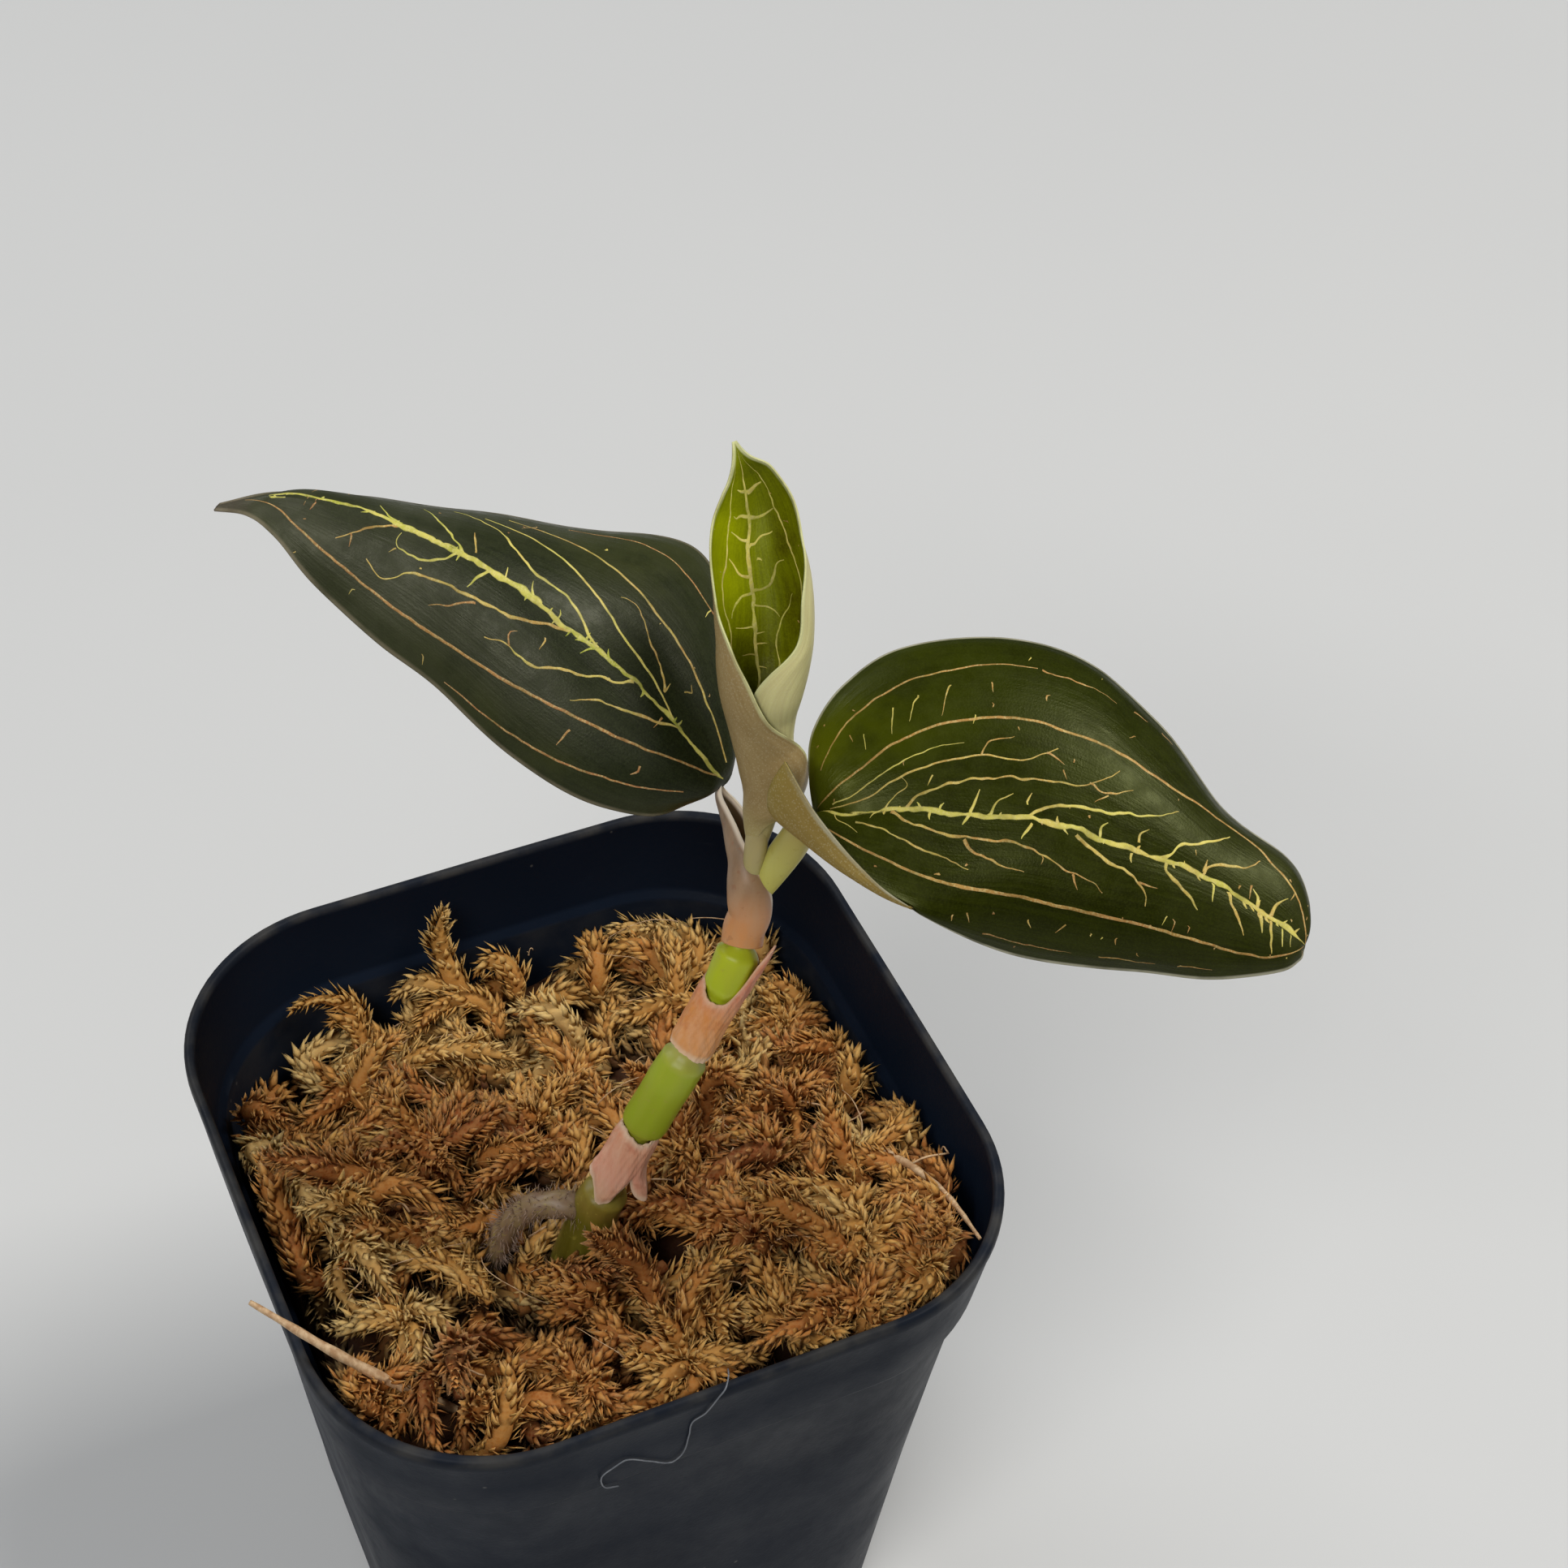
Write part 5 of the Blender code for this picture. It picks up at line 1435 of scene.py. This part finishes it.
def dress_sleeve(node, slot, rows, way, start_of, end_of, flare_of, material, seed):
    """A thin sleeve with torn ends; its wall thins towards them."""
    rows = np.asarray(rows, float)
    chance = np.random.default_rng(seed)
    sides, steps = SLEEVE_SIDES, SLEEVE_STEPS
    turns = ring_turns(sides)
    torn = sum(0.5 / wave * np.sin(wave * 3 * turns + chance.uniform(0, 6)) for wave in range(1, 9))
    start = start_of(turns) + 0.018 * torn
    end = end_of(turns) + 0.020 * np.roll(torn, 17)
    tangent = unit(rows[-1, :3] - rows[0, :3])
    side = unit(np.asarray(way) - tangent * np.dot(tangent, way))
    shares = start + (end - start) * np.linspace(0.0, 1.0, steps)[:, None]
    inside = np.clip(shares, 0.0, 1.0)
    row = curve_at(rows, reached(rows[:, :3]), inside.ravel()).reshape(steps, sides, 5)
    centre = row[..., :3] + tangent * ((shares - inside) * 8.0)[..., None]
    crinkle = 0.035 * np.sin(11 * turns + 7 * shares) + 0.025 * np.sin(23 * turns - 12 * shares)
    ends = np.minimum(shares - start, end - shares)
    half = 0.5 * (row[..., 4] - row[..., 3]) * (0.28 + 0.72 * ease(ends / 0.14))
    middle = 0.5 * (row[..., 3] + row[..., 4]) + crinkle + flare_of(turns, shares)
    out = spokes(turns, side, np.cross(tangent, side))
    faces = []
    inner = steps * sides
    for i in range(sides):
        j = (i + 1) % sides
        for a in range(0, inner - sides, sides):
            b = a + sides
            faces.append((a + i, a + j, b + j, b + i))
            faces.append((inner + a + i, inner + b + i, inner + b + j, inner + a + j))
        last = inner - sides
        faces.append((i, inner + i, inner + j, j))
        faces.append((last + i, last + j, inner + last + j, inner + last + i))
    build = Build("along", "torn")
    build.add(
        [centre + (middle + half)[..., None] * out, centre + (middle - half)[..., None] * out],
        faces,
        along=np.tile(shares.ravel(), 2),
        torn=0.75 * np.tile(1.0 - ease(ends.ravel() / 0.10), 2),
    )
    belongs(build.piece(node + "_fine", material, sharp=70.0), slot, node)


def lower_start(turn):
    return 0.12 - 0.19 * near(turn, 4.35, 0.8) + 0.22 * near(turn, 5.25, 0.5) + 0.14 * near(turn, 3.3, 0.6)


def lower_end(turn):
    return 1.0 - 0.03 * np.sin(3 * turn)


def lower_flare(turn, share):
    """The two torn flaps at the foot stand off the stem."""
    foot = np.clip(1.0 - (share - lower_start(turn)) / 0.42, 0.0, 1.0)
    return foot ** 1.4 * (1.5 * near(turn, 5.95, 0.6) + 0.7 * near(turn, 3.3, 0.6))


def upper_start(turn):
    return 0.03 * np.cos(turn - 3.9)


def upper_end(turn):
    """Cut short at the front and drawn out to a point at the right."""
    return 0.80 + 0.16 * near(turn, 3.3, 1.3) + 0.84 * near(turn, 0.0, 1.25) ** 1.3


def upper_flare(turn, share):
    return 0.35 * np.maximum(0.0, share - 0.9) * near(turn, 0.0, 1.3)


def dress_sheaths():
    pink = sheath_material(
        "sheath_pink_fine",
        (0.82, 0.60, 0.42),
        (0.50, 0.17, 0.09),
        (0.0, (0.72, 0.42, 0.26)),
        (0.35, (0.76, 0.36, 0.24)),
        (1.0, (0.66, 0.29, 0.16)),
    )
    tan = sheath_material(
        "sheath_tan_fine",
        (0.80, 0.50, 0.32),
        (0.56, 0.17, 0.05),
        (0.0, (0.80, 0.66, 0.44)),
        (0.10, (0.72, 0.32, 0.10)),
        (0.6, (0.70, 0.27, 0.07)),
        (1.0, (0.66, 0.24, 0.14)),
    )
    dress_sleeve("sheath_lower", "sheath_pink", LOWER_SHEATH, LOWER_FLAP_WAY,
                 lower_start, lower_end, lower_flare, pink, 31)
    dress_sleeve("sheath_upper", "sheath_tan", UPPER_SHEATH, UPPER_TIP_WAY,
                 upper_start, upper_end, upper_flare, tan, 32)


# ---------------------------------------------------------------- pot
def pot_half(z):
    """Half width of the tapered body at a height."""
    lean = (POT_TOP_HALF - COLLAR_STEP - POT_BASE_HALF) / POT_HEIGHT
    return POT_BASE_HALF + lean * z


def square_ring(half, z):
    """A round-cornered square, walked once round, with points along its sides too."""
    corner = half * CORNER_SHARE
    straight = half - corner
    points = []
    for quarter in range(4):
        way_x = 1 if quarter in (0, 3) else -1
        way_y = 1 if quarter in (0, 1) else -1
        for step in range(CORNER_STEPS + 1):
            turn = math.pi / 2 * (quarter + step / CORNER_STEPS)
            x = way_x * straight + corner * math.cos(turn)
            y = way_y * straight + corner * math.sin(turn)
            points.append((x, y, z))
        start = np.array(points[-1])
        ahead = np.array((-math.sin(turn), math.cos(turn), 0.0))
        for step in range(1, SIDE_STEPS):
            points.append(start + ahead * 2 * straight * step / SIDE_STEPS)
    return np.array(points)


def soft_walls(points):
    """The slight bow and waviness of thin plastic, strongest half way up the sides."""
    x, y, z = points.T
    bow = 0.35 * np.sin(np.pi * np.clip(z / POT_HEIGHT, 0, 1)) * np.cos(np.arctan2(y, x) * 4)
    ripple = 0.12 * np.sin(0.21 * x + 1.3) * np.cos(0.17 * y + 0.4) * np.sin(0.1 * z)
    out = unit(np.stack((x, y, 0 * z), axis=1))
    return points + out * (bow + ripple)[:, None]


def pot_profile():
    """Half width and height of each ring: up the outside, over the rim, down the inside."""
    base, rim, top = POT_BASE_HALF, POT_TOP_HALF, POT_HEIGHT
    collar = top - COLLAR_HEIGHT
    neck = pot_half(collar)
    shoulder = neck + COLLAR_STEP
    ledge = collar + COLLAR_STEP
    inner_neck = pot_half(ledge) - POT_WALL
    inner_shoulder = inner_neck + COLLAR_STEP
    inner_rim = rim - POT_WALL
    return (
        (base - 1.1, 0.0),
        (base - 0.55, 0.12),
        (base - 0.15, 0.5),
        (pot_half(1.0), 1.0),
        *((pot_half(collar * share), collar * share) for share in (0.25, 0.5, 0.75)),
        (pot_half(collar - 0.4), collar - 0.4),
        (neck + 0.12, collar - 0.1),
        (shoulder - 0.15, collar + 0.2),
        (shoulder, collar + 0.6),
        ((shoulder + rim) / 2, (collar + top) / 2),
        (rim - 0.12, top - 1.6),
        (rim, top - 1.2),
        (rim, top - 0.4),
        (rim - 0.12, top - 0.1),
        (rim - 0.4, top),
        (inner_rim + 0.25, top - 0.05),
        (inner_rim + 0.03, top - 0.3),
        (inner_rim, top - 0.8),
        (inner_shoulder, ledge + 0.8),
        (inner_shoulder - 0.15, ledge + 0.25),
        (inner_neck + 0.1, ledge - 0.05),
        (inner_neck, ledge - 0.5),
        *((pot_half(collar * share) - POT_WALL, collar * share) for share in (0.7, 0.4)),
        (pot_half(POT_FLOOR + 1.2) - POT_WALL, POT_FLOOR + 1.2),
        (pot_half(POT_FLOOR) - POT_WALL - 0.9, POT_FLOOR),
    )


def worn_at(z):
    """How rubbed the plastic is at a height, which also sets a painted highlight line: most on the rim, a
    little on the collar's step.
    """
    if z > POT_HEIGHT - 0.5:
        return 1.0
    return 0.35 if abs(z - POT_HEIGHT + COLLAR_HEIGHT) < 0.3 else 0.0


def dress_pot():
    profile = pot_profile()
    rings = np.array([square_ring(half, z) for half, z in profile])
    build = Build("worn")
    build.add(
        soft_walls(rings.reshape(-1, 3)),
        ring_faces(*rings.shape[:2]),
        worn=np.repeat([worn_at(z) for _, z in profile], rings.shape[1]),
    )
    piece = build.piece("pot_shell", pot_material(), sharp=50.0)
    cut_drains(piece)
    belongs(piece, "pot_plastic", "pot")


def cut_drains(piece):
    """Four plain holes through the floor of the pot."""
    cutters = []
    for x in (-DRAIN_OFFSET, DRAIN_OFFSET):
        for y in (-DRAIN_OFFSET, DRAIN_OFFSET):
            path = ((x, y, -1.0), (x, y, POT_FLOOR + 1.0))
            rings = tube_points(path, (DRAIN_RADIUS, DRAIN_RADIUS), 40)
            cutters.append(mesh_piece("drain", rings.reshape(-1, 3), ring_faces(2, 40),
                                      piece.data.materials[0]))
    for cutter in cutters:
        cut = piece.modifiers.new("drain", "BOOLEAN")
        cut.operation = "DIFFERENCE"
        cut.solver = "EXACT"
        cut.object = cutter
    graph = bpy.context.evaluated_depsgraph_get()
    piece.data = bpy.data.meshes.new_from_object(piece.evaluated_get(graph))
    piece.modifiers.clear()
    for cutter in cutters:
        bpy.data.objects.remove(cutter, do_unlink=True)


# ---------------------------------------------------------------- moss
def back_and_left(x, y):
    """How far a spot lies to the back and to the left, as the camera sees the pot."""
    return BACK_X * x + BACK_Y * y, BACK_X * y - BACK_Y * x


def moss_top(x, y):
    """Height of the bed: full at the front, sunk at the back, at the left and by the stem."""
    back, left = back_and_left(x, y)
    z = MOSS_FRONT_Z - MOSS_BACK_DROP * ease((back + 10) / 32) - MOSS_LEFT_DROP * ease((left - 6) / 30)
    z = z - STEM_DIP * np.exp(-((x + 7.0) ** 2 + (y + 14.0) ** 2) / 60.0)
    return z + 0.9 * np.sin(0.43 * x + 1.0) * np.sin(0.37 * y) + 0.5 * np.sin(0.9 * x) * np.sin(0.8 * y + 2.0)


def moss_room_half(z):
    """Half side of the room the moss may fill."""
    ledge = POT_HEIGHT - COLLAR_HEIGHT + COLLAR_STEP
    upper = np.minimum(pot_half(z) + COLLAR_STEP * ease((z - ledge) / 2.0), POT_TOP_HALF)
    return np.where(z < ledge, pot_half(z), upper) - POT_WALL - MOSS_GAP


def keep_in_room(points, spare=0.0):
    """Draw points in until they lie inside the pot's round-cornered walls."""
    half = moss_room_half(points[..., 2]) - spare
    reach = ((np.abs(points[..., :2]) / half[..., None]) ** 5).sum(-1) ** 0.2
    kept = points.copy()
    kept[..., :2] *= np.minimum(1.0, ROOM_SHARE / np.maximum(reach, 1e-6))[..., None]
    return kept


def keep_off_stem(points, spare):
    """Push points away from the stem and its root."""
    kept = points.copy()
    for rows in (STEM[:6], ROOT):
        rows = smooth_stalk(rows, 30)
        distance = np.linalg.norm(kept[..., None, :] - rows[:, :3], axis=-1)
        nearest = rows[distance.argmin(axis=-1)]
        room = nearest[..., 3] + spare
        push = np.maximum(1.0, room / np.maximum(distance.min(axis=-1), 1e-6))
        kept = nearest[..., :3] + (kept - nearest[..., :3]) * push[..., None]
    return kept


def strand_path(start, way, length, chance, level=-0.8, bend=0.17):
    """A curling path that keeps near a level over or under the top of the bed."""
    points = [np.array(start, float)]
    way = unit(way)
    curl = chance.normal(0, bend, 3)
    for _ in range(PATH_STEPS):
        point = points[-1] + way * length / PATH_STEPS
        points.append(point)
        above = point[2] - moss_top(point[0], point[1]) - level
        pull = -0.16 * np.clip(above, -1.5, 1.5)
        way = unit(way + curl + chance.normal(0, 0.06, 3) + np.array((0.0, 0.0, pull)))
    return np.array(points)


def depth_share(points, free):
    """How deep in the moss points lie, from 0 near the top to 1, which sets their painted shade."""
    below = moss_top(points[..., 0], points[..., 1]) - points[..., 2]
    return below / DEEP - free


def add_strand(build, path, thickness, tone, chance):
    """A strand clothed with small overlapping leaves, thick in the middle, pointed at its end."""
    path = keep_in_room(keep_off_stem(path, thickness * 0.7), thickness * 0.6)
    count = max(12, int(way_length(path) / SCALE_STEP))
    shares = np.linspace(0.0, 1.0, count)
    centres = curve_at(path, reached(path), shares)
    tangents, first, second = frames_along(centres, chance.normal(0, 1, 3))
    lumps = 1.0 + 0.10 * np.sin(shares * chance.uniform(9, 22) + chance.uniform(0, 6))
    radius = 0.5 * thickness * (0.55 + 0.45 * np.sin(np.pi * np.minimum(1.0, shares * 0.9 + 0.1))) * lumps
    radius *= 0.25 + 0.75 * ease((1.0 - shares) / 0.3)
    out = spokes(GOLDEN_TURN * np.arange(count) + chance.normal(0, 0.5, count), first, second)
    lean = np.radians(chance.uniform(4, 34, count) + 26 * (chance.uniform(0, 1, count) < 0.12))
    axis = spokes(lean, tangents, out)
    outward = spokes(lean, out, -tangents)
    size = (0.55 + 0.45 * np.minimum(1.0, radius / 0.9)) * chance.uniform(0.65, 1.3, count)
    spans = (
        (SCALE_LENGTH * size, axis),
        (SCALE_WIDTH * size, np.cross(axis, outward)),
        (size * chance.uniform(0.6, 1.5, count), outward),
    )
    points = np.repeat((centres + out * (0.72 * radius)[:, None])[:, None], len(SCALE_SHAPE), axis=1)
    for (span, direction), place in zip(spans, SCALE_SHAPE.T):
        points += np.outer(span, place)[..., None] * direction[:, None]
    points = keep_in_room(points)
    number = len(SCALE_SHAPE)
    lengthwise = SCALE_SHAPE[:, 0]
    build.add(
        points,
        [tuple(k * number + i for i in face) for k in range(count) for face in SCALE_FACES],
        tone=np.repeat(tone + chance.normal(0, 0.05, count), number),
        tip=np.outer(chance.uniform(0.2, 1.0, count), lengthwise ** 2).ravel(),
        # painted shade: each small leaf gets darker with its depth below the bed's top
        depth=np.clip(depth_share(points, 0.18), 0, 1).ravel(),
    )
    core = keep_in_room(tube_points(centres[::5], 0.74 * radius[::5], 7))
    # painted shade: a strand's core always carries at least a quarter of the darkening
    depth = np.clip(depth_share(core, 0.05), 0.25, 1).ravel()
    build.add_rings(core, tone=tone + 0.1, tip=0.0, depth=depth)


def strand_tone(chance, x, y):
    """Drifts of rust and gold, lighter at the back, with bleached strands at the left."""
    back, left = back_and_left(x, y)
    drift = 0.47 + 0.22 * math.sin(0.30 * x + 0.8) * math.cos(0.27 * y - 0.5)
    tone = drift - 0.27 * float(ease((back - 4.0) / 14.0)) + chance.normal(0, 0.13)
    bleached = 0.08 + 0.20 * float(ease((left - 14.0) / 8.0))
    if chance.uniform(0, 1) < bleached:
        tone = chance.uniform(0.0, 0.16)
    return min(max(tone, 0.0), 0.92)


def bed_spot(chance):
    """A random spot inside the pot."""
    while True:
        x, y = chance.uniform(-BED_REACH, BED_REACH, 2)
        if (x / BED_REACH) ** 4 + (y / BED_REACH) ** 4 < 1.0:
            return x, y


def bed_strands(chance):
    """Start, way, length, level, bend, thickness and tone of every strand."""
    for _ in range(FILL_COUNT):
        x, y = bed_spot(chance)
        way = way_at(chance.uniform(0, FULL_TURN))
        start = (x, y, moss_top(x, y) - chance.uniform(2.6, 4.2))
        length, thickness = chance.uniform(10, 16), chance.uniform(2.0, 2.7)
        yield start, way, length, -3.2, 0.10, thickness, strand_tone(chance, x, y) + 0.08
    for _ in range(ROPE_COUNT):
        x, y = bed_spot(chance)
        turn = chance.uniform(0, FULL_TURN)
        start = (x, y, moss_top(x, y) - chance.uniform(1.0, 2.6))
        way = way_at(turn, chance.uniform(0.0, 0.5))
        level = chance.uniform(-1.6, -0.3)
        length, thickness = chance.uniform(8, 17), chance.uniform(1.7, 2.8)
        yield start, way, length, level, 0.15, thickness, strand_tone(chance, x, y)
    tufts = [(*bed_spot(chance), chance.uniform(0.4, 0.75), 8, 6.0, 1.6) for _ in range(STAR_COUNT)]
    for x, y, tone, arms, length, thickness in (*TUFTS, *tufts):
        heading = chance.uniform(0, FULL_TURN)
        start = (x, y, moss_top(x, y) - 0.6)
        for arm in range(arms):
            turn = heading + FULL_TURN * arm / arms + chance.uniform(-0.25, 0.25)
            way = way_at(turn, chance.uniform(0.3, 1.3))
            longer = chance.uniform(0.75, 1.2)
            yield start, way, length * longer, -0.2, 0.10, thickness, tone + chance.normal(0, 0.05)
    for start, end, tone, thickness in MARKED_STRANDS:
        way = np.subtract(end, start)
        yield start, way, float(np.linalg.norm(way)) * 1.25, 0.4, 0.04, thickness, tone


def dress_moss():
    material = moss_material()
    chance = np.random.default_rng(BED_SEED)
    builds = [Build("tone", "tip", "depth") for _ in range(MOSS_PIECES)]
    for i, (start, way, length, level, bend, thickness, tone) in enumerate(bed_strands(chance)):
        path = strand_path(start, way, length, chance, level, bend)
        add_strand(builds[i % MOSS_PIECES], path, thickness, tone, chance)
    for i, build in enumerate(builds):
        belongs(build.piece(f"moss_strands_{i + 1}", material), "dried_moss", "moss")
    dress_bed_core(material)
    dress_litter(chance)


def dress_bed_core(material):
    """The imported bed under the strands."""
    rings = [square_ring(moss_room_half(z), z) for z in (POT_FLOOR + MOSS_GAP, 15.0, 30.0, 45.0)]
    for share in np.linspace(1.0, 0.02, CORE_RINGS):
        ring = square_ring(moss_room_half(50.0) * share, 0.0)
        x, y = ring[:, 0], ring[:, 1]
        bumps = 0.7 * np.sin(1.7 * x + 0.6 * y) * np.sin(1.5 * y - 0.4 * x)
        bumps = bumps + 0.4 * np.sin(3.1 * x) * np.sin(2.7 * y)
        ring[:, 2] = moss_top(x, y) - 5.0 + bumps
        rings.append(ring)
    build = Build("tone", "tip", "depth")
    # painted shade: the bed core is painted almost fully dark under the strands
    build.add_rings(keep_off_stem(np.array(rings), 0.35), tone=0.8, tip=0.0, depth=0.94)
    belongs(build.piece("moss_core", material), "dried_moss", "moss")


def straw_joints(turns, shares):
    return 1.0 + 0.08 * np.sin(40 * shares)


def dress_litter(chance):
    """The straw over the left rim, a twig, loose fibres and the pale fibre on the front rim."""
    straw = Build("along")
    add_stalk(straw, STRAW, 12, 60, straw_joints)
    add_stalk(straw, TWIG, 10, 60, straw_joints)
    for _ in range(FIBRE_COUNT):
        x, y = bed_spot(chance)
        turn = chance.uniform(0, FULL_TURN)
        start = (x, y, moss_top(x, y) + chance.uniform(-1.0, 0.5))
        path = strand_path(start, way_at(turn, 0.3), chance.uniform(4, 12), chance, 0.2)
        path = keep_in_room(keep_off_stem(path, 0.3), 0.3)
        radius = chance.uniform(0.05, 0.13)
        thinning = np.linspace(radius, radius * 0.4, len(path))
        straw.add_rings(tube_points(path, thinning, 5), along=0.5)
    material = fibre_material("straw", (0.60, 0.42, 0.24), (0.36, 0.20, 0.09))
    belongs(straw.piece("straw_and_fibres", material), "dried_moss", "moss")

    keys = np.array(PALE_FIBRE)
    path = curve_at(keys, reached(keys), np.linspace(0, 1, 140))
    fibre = Build("along")
    fibre.add_rings(tube_points(path, np.full(len(path), 0.07), 6), along=0.5)
    pale = fibre_material("pale_fibre", (0.22, 0.23, 0.25), (0.12, 0.13, 0.15))
    belongs(fibre.piece("fibre_on_rim", pale), "dried_moss", "moss")


# ---------------------------------------------------------------- stage
def set_camera():
    right, up = Vector(CAMERA_RIGHT), Vector(CAMERA_UP)
    turn = Matrix((right, up, right.cross(up))).transposed().to_4x4()
    lens = bpy.data.cameras.new("camera")
    lens.lens = CAMERA_LENS
    lens.sensor_width = CAMERA_SENSOR
    lens.sensor_fit = "HORIZONTAL"
    lens.clip_start = 0.01
    lens.clip_end = 20.0
    camera = new_object("camera", lens)
    camera.matrix_world = Matrix.Translation(Vector(CAMERA_PLACE) * MM) @ turn
    bpy.context.scene.camera = camera


def add_light(name, turn, rise, distance, width, height, watts, colour):
    """A soft box that looks at the plant."""
    lamp = bpy.data.lights.new(name, "AREA")
    lamp.shape = "RECTANGLE"
    lamp.size = width * MM
    lamp.size_y = height * MM
    lamp.energy = watts
    lamp.color = colour
    light = new_object(name, lamp)
    turn, rise = math.radians(turn), math.radians(rise)
    flat = math.cos(rise)
    way = Vector((math.cos(turn) * flat, math.sin(turn) * flat, math.sin(rise)))
    light.location = (Vector(LIGHT_TARGET) + way * distance) * MM
    light.rotation_euler = (-way).to_track_quat("-Z", "Y").to_euler()


def set_stage():
    half = FLOOR_SIZE / 2
    corners = ((-half, -half, 0.0), (half, -half, 0.0), (half, half, 0.0), (-half, half, 0.0))
    mesh_piece("floor", corners, [(0, 1, 2, 3)], floor_material())
    set_camera()
    for light in LIGHTS:
        add_light(*light)
    world = bpy.data.worlds.new("studio")
    world.use_nodes = True
    sky = world.node_tree.nodes["Background"]
    sky.inputs["Color"].default_value = (*WORLD_COLOUR, 1.0)
    sky.inputs["Strength"].default_value = WORLD_STRENGTH
    bpy.context.scene.world = world
    bpy.context.scene.view_settings.view_transform = "Standard"


set_stage()
dress_leaves()
dress_stem()
dress_sheaths()
dress_pot()
dress_moss()
